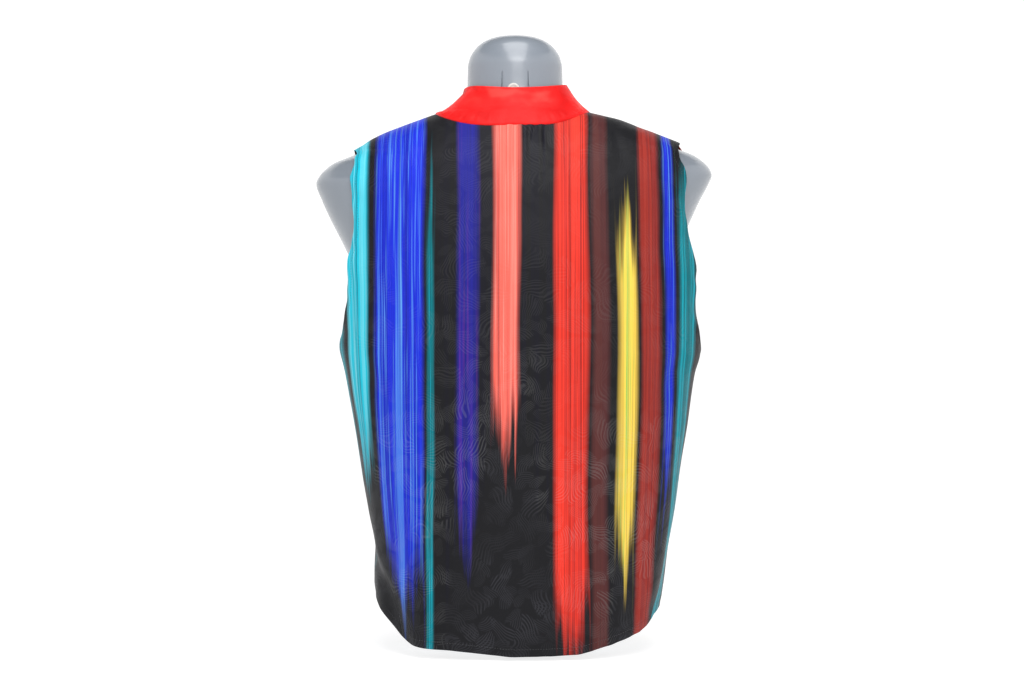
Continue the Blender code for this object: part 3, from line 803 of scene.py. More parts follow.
@dataclass
class ClothGrid:
    """A thin piece of cloth: its outer and inner points, rows upward and columns as seen from outside."""

    outer: Array
    inner: Array
    across: Array
    upward: Array
    edge_distance: Array
    seam_distance: Array
    normals: Array

    def flipped(self) -> "ClothGrid":
        """The same cloth with its columns in the other order."""
        return ClothGrid(*(getattr(self, name)[:, ::-1] for name in self.__dataclass_fields__))

    def area(self) -> float:
        """The outer face's area in square metres, from the diagonals of its cells."""
        first, second = self.outer[1:, 1:] - self.outer[:-1, :-1], self.outer[1:, :-1] - self.outer[:-1, 1:]
        return float(np.linalg.norm(np.cross(first, second), axis=-1).sum() / 2)

    def contour(self, inset: float, along_rows: bool, keep: slice) -> Line:
        """A line on the outer face at an even distance inside its edge.

        Args:
            inset: The distance from the edge.
            along_rows: Whether to walk inward along the rows, or else up the columns.
            keep: Which rows, or columns, to walk along, each from its outer end.

        Returns:
            The line's points and normals.
        """
        order = (0, 1, 2) if along_rows else (1, 0, 2)
        points = self.outer.transpose(order)[keep]
        normals = self.normals.transpose(order)[keep]
        distance = (self.edge_distance if along_rows else self.edge_distance.T)[keep]
        line, directions = [], []
        for place, facing, away in zip(points, normals, distance):
            inside = np.nonzero(away > inset)[0]
            if len(inside) == 0 or inside[0] == 0:
                continue
            i = inside[0]
            share = (inset - away[i - 1]) / (away[i] - away[i - 1])
            line.append(blend(place[i - 1], place[i], share))
            directions.append(facing[i])
        return np.array(line), np.array(directions)


def distance_to(points: Array, lines: Iterable[Array], spacing: float = 0.0005) -> Array:
    """How far each point lies from the nearest of some lines.

    Args:
        points: The points, in any shape.
        lines: Each line's own points, in order.
        spacing: How finely the lines are read.

    Returns:
        The distances, shaped like the points.
    """
    marks: list[Array] = []
    for line in lines:
        lengths = run_along(line)
        places = np.arange(0, lengths[-1], spacing)
        marks.append(np.stack([np.interp(places, lengths, line[:, k]) for k in range(3)], axis=1))
    tree_points = np.concatenate(marks)
    tree = KDTree(len(tree_points))
    for number, mark in enumerate(tree_points):
        tree.insert(mark, number)
    tree.balance()
    flat = [tree.find(point)[2] for point in points.reshape(-1, 3)]
    return np.array(flat).reshape(points.shape[:-1])


def link_mesh(name: str, mesh: Mesh, material: Material, sharp: float = 50.0) -> Object:
    """Puts a mesh in the scene under a name, smoothly shaded except over sharp edges.

    Args:
        name: The piece's name.
        mesh: Its mesh, in place.
        material: Its finish.
        sharp: The angle in degrees from which an edge stays sharp.

    Returns:
        The object, which sits at the origin.
    """
    mesh.materials.clear()
    mesh.materials.append(material)
    mesh.shade_smooth()
    mesh.set_sharp_from_angle(angle=math.radians(sharp))
    made = bpy.data.objects.new(name, mesh)
    bpy.context.scene.collection.objects.link(made)
    return made


def settle(piece: Object, replaced: Sequence[str] = ()) -> Object:
    """Makes a piece ride on the body and stand for the CAD nodes that it replaces.

    Args:
        piece: The piece.
        replaced: The CAD nodes that it stands for.

    Returns:
        The same piece.
    """
    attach(piece, ROOT_BODY)
    if replaced:
        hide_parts(*replaced)
    triangles = sum(len(face.vertices) - 2 for face in piece.data.polygons)
    LOG.info("%s: %d triangles", piece.name, triangles)
    return piece


def shell_mesh(name: str, grid: ClothGrid) -> Mesh:
    """A closed thin wall from a cloth grid, with the cloth's coordinates and edge distances on it.

    Args:
        name: The mesh's name.
        grid: The cloth.

    Returns:
        The mesh, its faces pointing outwards.
    """
    rows, columns = grid.outer.shape[:2]
    size = rows * columns
    index = np.arange(size).reshape(rows, columns)
    a, b, c, d = index[:-1, :-1], index[:-1, 1:], index[1:, 1:], index[1:, :-1]
    outside = np.stack([a, b, c, d], axis=-1).reshape(-1, 4) + size
    inside = np.stack([d, c, b, a], axis=-1).reshape(-1, 4)
    rim = np.concatenate([index[0, :-1], index[:-1, -1], index[-1, :0:-1], index[:0:-1, 0]])
    after = np.roll(rim, -1)
    walls = np.stack([rim, after, after + size, rim + size], axis=-1)
    points = np.concatenate([grid.inner.reshape(-1, 3), grid.outer.reshape(-1, 3)])
    mesh = bpy.data.meshes.new(name)
    mesh.from_pydata(points.tolist(), [], np.concatenate([outside, inside, walls]).tolist())
    corners = np.empty(len(mesh.loops), np.int32)
    mesh.loops.foreach_get("vertex_index", corners)
    places = np.stack([grid.across, grid.upward], axis=-1).reshape(-1, 2)
    layer = mesh.uv_layers.new(name=CLOTH_MAP)
    layer.data.foreach_set("uv", places[corners % size].astype(np.float32).ravel())
    for label, values in ((EDGE_DISTANCE, grid.edge_distance), (SEAM_DISTANCE, grid.seam_distance)):
        attribute = mesh.attributes.new(label, "FLOAT", "POINT")
        attribute.data.foreach_set("value", np.tile(values.ravel(), 2).astype(np.float32))
    return mesh


def ring_walls(rings: int, count: int, inward: bool = False) -> Array:
    """The four-sided faces between rings of points that stand on each other.

    Args:
        rings: How many rings there are, from the foot up.
        count: How many points each has, anticlockwise as seen from above.
        inward: Whether the faces look inwards.

    Returns:
        The faces, ring by ring.
    """
    here = np.arange(rings * count).reshape(rings, count)
    after = np.roll(here, -1, axis=1)
    first, second = (after, here) if inward else (here, after)
    return np.stack([first[:-1], second[:-1], second[1:], first[1:]], axis=-1).reshape(-1, 4)


def turned_mesh(name: str, profile: Sequence[Pair], count: int) -> Mesh:
    """A closed turned solid: flat below its first ring, with a pole over its last.

    Args:
        name: The mesh's name.
        profile: Radius and height of each ring, from the base up and inwards.
        count: How many sides each ring has.

    Returns:
        The mesh, standing on the origin along +Z.
    """
    turns = np.linspace(0, 2 * HALF_TURN, count, endpoint=False)
    points = [(r * math.cos(t), r * math.sin(t), h) for r, h in profile for t in turns]
    last, pole = len(points) - count, len(points)
    points.append((0.0, 0.0, profile[-1][1]))
    faces = [list(range(count))[::-1], *ring_walls(len(profile), count).tolist()]
    faces += [[last + s, last + (s + 1) % count, pole] for s in range(count)]
    mesh = bpy.data.meshes.new(name)
    mesh.from_pydata(points, [], faces)
    return mesh


def place_mesh(mesh: Mesh, centre: Array, normal: Array) -> None:
    """Sets a mesh that was made at the origin on a surface, in the mesh itself."""
    turn = Vector(normal).to_track_quat("Z", "Y").to_matrix().to_4x4()
    turn.translation = Vector(centre)
    mesh.transform(turn)


@dataclass
class SilkBody:
    """The back and the two fronts, cut from printed silk and worn over the form."""

    surface: WornSurface
    drape: Drape
    edges: CutEdges
    neckline: Neckline
    grain: Grain
    silk: Material
    solid_wall: float = 0.0015
    silk_wall: float = 0.0007
    faced_wall: float = 0.0014
    facing_width: float = 0.034
    facing_step: float = 0.008
    facing_calm: float = 0.7
    ripples_full_below: float = 0.12
    creases_clear: float = 0.006
    ripples_clear: float = 0.020
    waves_clear: float = 0.012
    back_centre: Pair = (0.358, 0.572)
    front_centre: Pair = (0.350, 0.520)
    overlap: float = 0.0125
    lap_flat: float = 0.004
    lap_fade: float = 0.030
    lap_lift: float = 0.0022
    side_steps: int = 92
    armhole_steps: int = 76
    shoulder_steps: int = 40
    half_columns: int = 98
    centre_density: float = 0.70
    back_flat: Pair = (0.50, 0.665)
    front_flat: Pair = (0.275, 0.640)

    def __post_init__(self) -> None:
        """Sets the two cutters up from the shared shape."""
        shared = (self.surface, self.neckline, self.edges)
        self.back = Cutter(Facing.BACK, *self.back_centre, 0.0, *shared)
        self.front = Cutter(Facing.FRONT, *self.front_centre, self.overlap, *shared)
        self.grids: dict[str, ClothGrid] = {}

    def lift(self, side: Side, x: Array) -> Array:
        """How far the left front is lifted over the right one where they lap."""
        lapped = smooth((self.overlap + self.lap_flat + self.lap_fade + x) / self.lap_fade)
        return self.lap_lift * lapped * (side is Side.LEFT)

    def half(self, cutter: Cutter, side: Side) -> ClothGrid:
        """One half of the back, or one front, from its centre line to its outer edge.

        Args:
            cutter: The panel's cutter.
            side: The side of the garment.

        Returns:
            The cloth, its columns running outwards.
        """
        rows = cutter.rows(self.side_steps, self.armhole_steps, self.shoulder_steps)
        share = np.linspace(0, 1, self.half_columns + 1)
        if cutter.facing is Facing.BACK:
            share = self.centre_density * share + (1 - self.centre_density) * share**3
        angle, height, neck_centre = cutter.stations(side, share, rows)
        base, normal = self.surface.point(angle, height), self.surface.normal(angle, height)
        out = self.surface.ease(base[..., 0]) + self.drape.folds(side, angle, height) + self.solid_wall
        if cutter.facing is Facing.BACK:
            out = out + self.drape.gathers(base[..., 0], neck_centre - height)
        else:
            out = out + self.lift(side, base[..., 0])
        plain = base + normal * out[..., None]
        across = self.grain.across(side, cutter.facing, np.abs(angle), base)
        upward = self.grain.upward(plain, across)
        tip = self.side_steps + self.armhole_steps
        edges = [plain[0], plain[self.side_steps : tip + 1, -1]]
        front_edge = plain[:, 0]
        if cutter.facing is Facing.FRONT:
            edges.append(front_edge)
        seams = [plain[: self.side_steps + 1, -1], plain[tip:, -1], plain[-1]]
        edge_distance, seam_distance = distance_to(plain, edges), distance_to(plain, seams)
        shift = self.drape.creases(cutter.facing, base)
        hanging = smooth((self.surface.rests_above - height) / self.ripples_full_below)
        ripples = self.drape.ripples(base) * (hanging * smooth(seam_distance / self.ripples_clear))
        shift = shift * smooth(seam_distance / self.creases_clear) + ripples
        shift = shift + self.drape.edge_waves(base, edge_distance) * smooth(seam_distance / self.waves_clear)
        wall = np.full(height.shape, self.silk_wall)
        if cutter.facing is Facing.FRONT:
            past = self.facing_width + self.facing_step - distance_to(plain, [front_edge])
            faced = smooth(past / self.facing_step)
            wall = blend(self.silk_wall, self.faced_wall, faced)
            shift = shift * (1 - self.facing_calm * faced)
        outer = plain + normal * shift[..., None]
        inner = outer - normal * wall[..., None]
        return ClothGrid(outer, inner, across, upward, edge_distance, seam_distance, normal)

    def whole_back(self) -> ClothGrid:
        """Joins both halves of the back at its centre."""
        left, right = self.half(self.back, Side.LEFT).flipped(), self.half(self.back, Side.RIGHT)
        pairs = ((getattr(left, name), getattr(right, name)) for name in ClothGrid.__dataclass_fields__)
        return ClothGrid(*(np.concatenate([one, other[:, 1:]], axis=1) for one, other in pairs))

    def build(self) -> dict[str, Object]:
        """Makes the three pieces of cloth.

        Returns:
            The pieces by name.
        """
        self.grids = {
            "back": self.whole_back(),
            "front_left": self.half(self.front, Side.LEFT),
            "front_right": self.half(self.front, Side.RIGHT).flipped(),
        }
        made = {}
        for node, grid in self.grids.items():
            name = f"{node}_silk"
            piece = link_mesh(name, shell_mesh(name, grid), self.silk)
            made[node] = settle(piece, [node])
            LOG.info("%s: %.3f m2 of cloth", name, grid.area())
            flat, area = self.back_flat if node == "back" else self.front_flat, round(grid.area(), 3)
        return made


@dataclass
class CollarBand:
    """The red band collar, a folded strip that leans in against the neck."""

    surface: WornSurface
    neckline: Neckline
    satin: Material
    rest_gap: float = 0.0013
    seam_gap: float = 0.0001
    seam_reach: float = 0.01
    foot_wall: float = 0.0015
    wall: float = 0.0018
    wall_growth: float = 3.0
    face_growth: float = 2.0
    top_half_width: dict[Side, float] = sides(0.0574, 0.0612)
    top_back: float = 0.0603
    top_front: float = 0.0690
    height_back: float = 0.6630
    height_side: dict[Side, float] = sides(0.6700, 0.6722)
    height_front: float = 0.6130
    hollow: dict[Side, float] = sides(0.0028, 0.0022)
    hollow_lean: float = 0.85
    form_ease: float = 0.0029
    front_gap: float = 0.0020
    corner: float = 0.0090
    corner_drop: float = 0.0054
    dip: float = 1.8
    left_drop: float = 0.0040
    left_drop_bend: int = 12
    columns: int = 260
    rises: int = 26
    fold_rows: int = 5
    fold_open: float = 0.6
    uneven_growth: float = 8.0
    pucker: float = 0.00035
    pucker_reach: float = 0.22
    pucker_waves: tuple[Place, ...] = ((1.0, 47, 0.0), (0.7, 83, 1.0))
    soft_rates: Pair = (6.3, 3.2)
    crease_x: float = -0.0125
    crease_lean: float = 0.006
    crease_width: float = 0.0021
    crease_reach: float = 0.55
    crease_depth: float = 0.0011
    flat: Pair = (0.50, 0.060)

    def turns(self) -> Array:
        """Turns round the neck, from the left front end by the back to the right one."""
        end = HALF_TURN - self.neckline.turn_at(self.front_gap, Side.RIGHT)
        return np.linspace(-end, end, self.columns + 1)

    def top(self, turn: Array) -> Array:
        """The top edge of the band's inner face.

        Args:
            turn: Turns round the neck.

        Returns:
            Its points.
        """
        back = np.cos(turn) > 0
        depth = np.where(back, self.top_back, self.top_front)
        end = np.where(back, self.height_back, self.height_front)
        height = blend(round_size(self.height_side, turn), end, np.abs(np.cos(turn)) ** self.dip)
        height = height - self.left_drop * np.maximum(0, -np.sin(turn)) ** self.left_drop_bend
        corner = np.maximum(0, 1 - (HALF_TURN - np.abs(turn)) * self.top_front / self.corner)
        height = height - self.corner_drop * (1 - np.sqrt(1 - np.minimum(corner, 1) ** 2))
        half_width = side_size(self.top_half_width, np.sin(turn))
        return np.stack([half_width * np.sin(turn), -depth * np.cos(turn), height], axis=-1)

    def clear_of_form(self, points: Array) -> Array:
        """Moves points out where they lie nearer than the band's ease to the form.

        Args:
            points: The points.

        Returns:
            The moved points.
        """
        x, y, z = points[..., 0], points[..., 1], points[..., 2]
        angle, reach = self.surface.place_in_form(x, y, z)
        normal = self.surface.normal(angle, z)
        away = points * LEVEL * (1 - 1 / reach)[..., None]
        return points + normal * np.maximum(0, self.form_ease - (away * normal).sum(-1))[..., None]

    def grid(self) -> ClothGrid:
        """Lays the band out from its foot on the neck seam up to its folded top edge.

        Returns:
            The cloth, its columns running round the neck.
        """
        turn = self.turns()
        angle, height = self.neckline.spot(turn)
        base, normal = self.surface.point(angle, height), self.surface.normal(angle, height)
        near = (turn - self.seam_reach, turn + self.seam_reach)
        before, after = (self.surface.point(*self.neckline.spot(place)) for place in near)
        foot = base + normal * self.rest_gap + unit(np.cross(normal, after - before)) * self.seam_gap
        top = self.top(turn)
        around = np.stack([np.cos(turn), np.sin(turn), 0 * turn], axis=-1)
        outward = unit(np.cross(around, top - foot))
        hollow = round_size(self.hollow, turn)[:, None]
        inner_rows, outer_rows = [], []
        for rise in np.linspace(0, 1, self.rises):
            inner = blend(foot, top, rise) - outward * hollow * math.sin(HALF_TURN * rise**self.hollow_lean)
            inner = self.clear_of_form(inner) if rise else inner
            face = unit(blend(normal, outward, smooth(rise * self.face_growth)))
            wall = blend(self.foot_wall, self.wall, smooth(rise * self.wall_growth))
            inner_rows.append(inner)
            outer_rows.append(inner + face * (wall + self.unevenness(inner, rise))[..., None])
        self.add_fold(inner_rows, outer_rows)
        inner, outer = np.array(inner_rows), np.array(outer_rows)
        across, middle = run_along(outer, axis=1), self.columns // 2
        across -= across[:, middle : middle + 1]
        seam = distance_to(outer, [outer[0]])
        edge = distance_to(outer, [outer[-1], outer[:, 0], outer[:, -1]])
        normals = np.broadcast_to(outward, outer.shape)
        return ClothGrid(outer, inner, across, run_along(outer), edge, seam, normals)

    def unevenness(self, points: Array, rise: float) -> Array:
        """The satin's slight puckers along the seam and the short crease beside the back centre.

        Args:
            points: A row of the band's points.
            rise: How far up the band the row lies, from 0 to 1.

        Returns:
            How far the cloth stands out.
        """
        x, y = points[..., 0], points[..., 1]
        run, (around, up) = np.arctan2(x, -y), self.soft_rates
        pucker = self.pucker * math.exp(-((rise / self.pucker_reach) ** 2)) * waves(self.pucker_waves, run)
        soft = self.pucker * math.sin(HALF_TURN * rise) * np.sin(around * run + up * rise)
        away = (x - self.crease_x - self.crease_lean * rise) / self.crease_width
        crease = self.crease_depth * np.exp(-(away**2)) * (y < 0) * max(0.0, 1 - rise / self.crease_reach)
        return (pucker + soft - crease) * smooth(rise * self.uneven_growth)

    def add_fold(self, inner_rows: list[Array], outer_rows: list[Array]) -> None:
        """Rounds the top edge over, as a strip folded lengthwise has it.

        Args:
            inner_rows: The rows of the inner face, which grow by the fold's.
            outer_rows: The rows of the outer face, which grow too.
        """
        inner, outer = inner_rows[-1], outer_rows[-1]
        middle, half = (inner + outer) / 2, (outer - inner) / 2
        lift = UP * np.linalg.norm(half, axis=-1, keepdims=True)
        for step in range(1, self.fold_rows + 1):
            turn = step / (self.fold_rows + self.fold_open) * QUARTER_TURN
            inner_rows.append(middle - half * math.cos(turn) + lift * math.sin(turn))
            outer_rows.append(middle + half * math.cos(turn) + lift * math.sin(turn))

    def build(self) -> Object:
        """Returns:
            The piece.
        """
        grid = self.grid()
        area = round(grid.area(), 4)
        piece = link_mesh("collar_satin", shell_mesh("collar_satin", grid), self.satin, sharp=70)
        settle(piece, ["collar"])
        LOG.info("collar_satin: %.4f m2 of cloth", area)
        return piece


@dataclass
class TorsoForm:
    """The limbless grey form: shoulder stumps, a neck with a domed top, a flat base."""

    surface: WornSurface
    plastic: Material
    cap_plastic: Material
    columns: int = 176
    ring_bands: tuple[tuple[float, int], ...] = ((0.006, 8), (0.03, 10), (0.53, 75), (0.655, 65), (0.69, 45))
    neck_rings: int = 15
    dome_radius: float = 0.0390
    dome_start: float = 0.7250
    top: float = 0.7333
    dome_bend: Pair = (3.09, 1556.0)
    dome_rings: int = 16
    neck_radius: float = 0.0571
    slot_turns: tuple[float, ...] = (-1.43, -0.2695, 0.2695, 1.43)
    slot_columns: tuple[float, ...] = (0.15, 0.3, 0.5, 0.75, 1.0, 1.3, 1.8)
    slot_clear: float = 0.5
    slot_widths: Pair = (0.00100, 0.00022)
    slot_edge: float = 0.0003
    slot_depth: float = 0.0022
    slot_shallowing: float = 0.6
    slot_span: Pair = (0.6640, 0.6860)
    slot_below: float = 0.02
    slot_ends: Pair = (0.002, 0.003)
    cap_place: Pair = (-0.0019, 0.6632)
    cap_columns: int = 48
    cap_profile: tuple[Pair, ...] = (
        (0.007400, -0.00060),
        (0.007200, 0.00035),
        (0.006900, 0.00075),
        (0.006300, 0.00100),
        (0.004464, 0.00104),
        (0.004032, 0.00070),
        (0.002160, 0.00074),
    )

    def turns(self) -> Array:
        """Turns round the form, set close together at the slots in the neck.

        Returns:
            The turns, in order.
        """
        even = np.linspace(-HALF_TURN, HALF_TURN, self.columns, endpoint=False)
        fine = np.radians(np.array(self.slot_columns))
        fine = np.concatenate([-fine[::-1], [0], fine])
        slots = np.concatenate([turn + fine for turn in self.slot_turns])
        keep = np.abs(even[:, None] - slots[None, :]).min(axis=1) > math.radians(self.slot_clear)
        return np.sort(np.concatenate([even[keep], slots]))

    def levels(self) -> Array:
        """Heights of the rings below the dome, closest where the form bends most.

        Returns:
            The heights, lowest first.
        """
        start, parts = 0.0, [np.zeros(1)]
        for end, count in (*self.ring_bands, (self.dome_start, self.neck_rings)):
            parts.append(np.linspace(start, end, count + 1)[1:])
            start = end
        return np.concatenate(parts)

    def slots(self, turns: Array, levels: Array) -> Array:
        """How deep the neck's slots, each wider at its foot, are cut.

        Args:
            turns: Turns round the form.
            levels: Heights.

        Returns:
            The depths.
        """
        low, high = self.slot_span
        foot, head = self.slot_ends
        climb = np.clip((levels - low) / (high - low), 0, 1)
        half_width = blend(*self.slot_widths, climb)
        away = np.min([np.abs(turns - turn) for turn in self.slot_turns], axis=0) * self.neck_radius
        across = 1 - smooth((away - half_width) / self.slot_edge)
        along = smooth((levels - low + self.slot_below) / foot) * smooth((high - levels) / head)
        return self.slot_depth * across * along * (1 - self.slot_shallowing * climb)

    def body(self) -> Object:
        """Makes the form itself, closed at its base and its crown.

        Returns:
            The piece.
        """
        form, turns, levels = self.surface.form, self.turns(), self.levels()
        section = [value[:, None] for value in form.at(levels)]
        points = self.surface.section_point(section, turns[None, :], levels[:, None])
        rings = list(points - unit(points * LEVEL) * self.slots(turns[None, :], levels[:, None])[..., None])
        second, fourth = self.dome_bend
        for share in np.cos(np.linspace(0, QUARTER_TURN, self.dome_rings + 1)[1:-1]):
            radius = self.dome_radius * share
            height = self.top - second * radius**2 - fourth * radius**4
            section = [value * share for value in form.at(self.dome_start)[:4]] + [ROUND]
            rings.append(self.surface.section_point(section, turns, np.full(turns.shape, height)))
        count, pole = len(turns), len(turns) * len(rings)
        last = pole - count
        crown = [[last + s, last + (s + 1) % count, pole] for s in range(count)]
        base = list(range(count))[::-1]
        mesh = bpy.data.meshes.new("torso_form_smooth")
        vertices = np.concatenate([*rings, UP[None] * self.top])
        mesh.from_pydata(vertices.tolist(), [], [*ring_walls(len(rings), count).tolist(), *crown, base])
        piece = link_mesh("torso_form_smooth", mesh, self.plastic, sharp=60)
        return settle(piece, ["torso_form"])

    def neck_cap(self) -> Object:
        """Makes the small pale cap set into the back of the neck, mostly behind the collar.

        Returns:
            The piece.
        """
        x, z = self.cap_place
        angle = math.asin(x / self.neck_radius)
        mesh = turned_mesh("neck_cap", self.cap_profile, self.cap_columns)
        place_mesh(mesh, self.surface.point(angle, z), self.surface.normal(angle, z))
        return settle(link_mesh("neck_cap", mesh, self.cap_plastic))

    def build(self) -> list[Object]:
        """Makes the form and the cap in its neck."""
        return [self.body(), self.neck_cap()]


@dataclass
class Buttons:
    """Five black buttons with turned rims and four sewn holes, on the lapped front."""

    body: SilkBody
    resin: Material
    thread: Material
    heights: tuple[float, ...] = BUTTON_HEIGHTS
    gap: float = 0.0005
    columns: int = 64
    hole_radius: float = 0.00085
    hole_offset: float = 0.00165
    hole_spread: float = 1.2
    drill_span: Pair = (-0.002, 0.006)
    drill_columns: int = 20
    thread_radius: float = 0.00028
    thread_spread: float = 0.85
    thread_columns: int = 8
    strand_pitch: float = 1.7
    bar_steps: int = 11
    bar_length: float = 1.05
    bar_foot: float = -0.0004
    bar_heights: Pair = (0.00208, 0.00052)
    profile: tuple[Pair, ...] = (
        (0.0056, 0.00000),
        (0.0064, 0.00015),
        (0.0071, 0.00060),
        (0.0075, 0.00130),
        (0.0075, 0.00185),
        (0.0072, 0.00240),
        (0.0067, 0.00270),
        (0.0060, 0.00280),
        (0.0054, 0.00270),
        (0.0050, 0.00235),
        (0.0046, 0.00210),
        (0.0040, 0.00200),
        (0.0034, 0.00198),
    )

    def seat(self, height: float) -> Line:
        """Where a button stands on the front, and which way it faces.

        Args:
            height: How high it stands.

        Returns:
            Its place and its direction.
        """
        surface, angle = self.body.surface, np.array(-HALF_TURN)
        level = np.array(height)
        out = surface.rest_gap + self.body.drape.folds(Side.LEFT, angle, level)
        out = out + self.body.lap_lift + self.body.solid_wall + self.gap
        normal = surface.normal(angle, level)
        return surface.point(angle, level) + normal * out, normal

    def blank(self) -> Mesh:
        """Turns one button and bores its four holes through.

        Returns:
            Its mesh, lying at the origin.
        """
        blank = bpy.data.objects.new("button_blank", turned_mesh("button_blank", self.profile, self.columns))
        bpy.context.scene.collection.objects.link(blank)
        reach = self.hole_offset / math.sqrt(2) * self.hole_spread
        bore = [(self.hole_radius, height) for height in self.drill_span]
        drills = []
        for across, up in ((1, 1), (-1, 1), (-1, -1), (1, -1)):
            shape = turned_mesh("drill", bore, self.drill_columns)
            shape.transform(Matrix.Translation((across * reach, up * reach, 0)))
            drill = bpy.data.objects.new("drill", shape)
            bpy.context.scene.collection.objects.link(drill)
            cut = blank.modifiers.new("hole", "BOOLEAN")
            cut.operation, cut.solver, cut.object = "DIFFERENCE", "EXACT", drill
            drills.append(drill)
        graph = bpy.context.evaluated_depsgraph_get()
        bored = bpy.data.meshes.new_from_object(blank.evaluated_get(graph))
        for helper in (*drills, blank):
            bpy.data.objects.remove(helper)
        return bored

    def strand(self, y: float) -> Array:
        """The path of one strand: up through a hole, over the face and down again.

        Args:
            y: How far from the middle it runs.

        Returns:
            Its points.
        """
        reach, (face, crown) = self.hole_offset * self.thread_spread * self.bar_length, self.bar_heights
        steps = np.linspace(-1, 1, self.bar_steps)
        rise = face + crown * np.sqrt(np.maximum(0, 1 - np.abs(steps) ** 3))
        bar = [(step * reach, y, height) for step, height in zip(steps, rise)]
        return np.array([(-reach, y, self.bar_foot), *bar, (reach, y, self.bar_foot)])

    def stitch_cross(self) -> Mesh:
        """Makes the thread through the holes: two bars of two strands over the face.

        Returns:
            Its mesh, lying at the origin.
        """
        count, side = self.thread_columns, np.array([0.0, 1.0, 0.0])
        turns = np.linspace(0, 2 * HALF_TURN, count, endpoint=False)[:, None]
        points, faces = [], []
        for bar, strand in ((-1, -0.5), (-1, 0.5), (1, -0.5), (1, 0.5)):
            y = bar * self.hole_offset * self.thread_spread + strand * self.thread_radius * self.strand_pitch
            path, start = self.strand(y), len(points)
            up = np.cross(unit(np.gradient(path, axis=0)), side)[:, None]
            rings = path[:, None] + (side * np.cos(turns) + up * np.sin(turns)) * self.thread_radius
            points += rings.reshape(-1, 3).tolist()
            faces += (ring_walls(len(path), count, inward=True) + start).tolist()
            faces.append([start + s for s in range(count)])
            faces.append([len(points) - count + s for s in reversed(range(count))])
        mesh = bpy.data.meshes.new("button_thread")
        mesh.from_pydata(points, [], faces)
        return mesh

    def build(self) -> list[Object]:
        """Makes the five buttons and the thread that holds each.

        Returns:
            The pieces.
        """
        blank, cross = self.blank(), self.stitch_cross()
        made = []
        for number, height in enumerate(self.heights, 1):
            centre, normal = self.seat(height)
            for label, shape, material in (("turned", blank, self.resin), ("thread", cross, self.thread)):
                mesh = shape.copy()
                place_mesh(mesh, centre, normal)
                piece = link_mesh(f"button_{number}_{label}", mesh, material, sharp=32)
                replaced = [f"button_{number}"] if label == "turned" else []
                made.append(settle(piece, replaced))
        return made


class ScatterTree:
    """Geometry Nodes that lay thread stitches along guide lines."""

    def __init__(self, name: str) -> None:
        """Starts a node tree with a geometry going in and out.

        Args:
            name: The tree's name.
        """
        self.tree = bpy.data.node_groups.new(name, "GeometryNodeTree")
        self.tree.interface.new_socket("Geometry", in_out="INPUT", socket_type="NodeSocketGeometry")
        self.tree.interface.new_socket("Geometry", in_out="OUTPUT", socket_type="NodeSocketGeometry")
        self.entry = self.tree.nodes.new("NodeGroupInput")
        self.exit = self.tree.nodes.new("NodeGroupOutput")

    def size(self, name: str, value: float) -> None:
        """Adds a named size to the tree's inputs."""
        socket = self.tree.interface.new_socket(name, in_out="INPUT", socket_type="NodeSocketFloat")
        socket.default_value = value

    def node(self, kind: str, settings: dict[str, object] | None = None, **inputs: object) -> Node:
        """Adds a node.

        Args:
            kind: The node's type.
            settings: Its settings, made first.
            inputs: Values or output sockets for its input sockets, by name with _ for a space.

        Returns:
            The node.
        """
        node = self.tree.nodes.new(kind)
        for key, value in (settings or {}).items():
            setattr(node, key, value)
        for key, value in inputs.items():
            socket = next(s for s in node.inputs if s.name.replace(" ", "_") == key and s.enabled)
            if isinstance(value, NodeSocket):
                self.tree.links.new(value, socket)
            else:
                socket.default_value = value
        return node

    def finish(self, geometry: NodeSocket, material: Material) -> NodeTree:
        """Makes the instances real, gives them their finish and ends the tree.

        Args:
            geometry: The instances.
            material: Their finish.

        Returns:
            The tree.
        """
        real = self.node("GeometryNodeRealizeInstances", Geometry=geometry)
        dressed = self.node("GeometryNodeSetMaterial", Geometry=real.outputs[0], Material=material)
        self.tree.links.new(dressed.outputs[0], self.exit.inputs[0])
        return self.tree


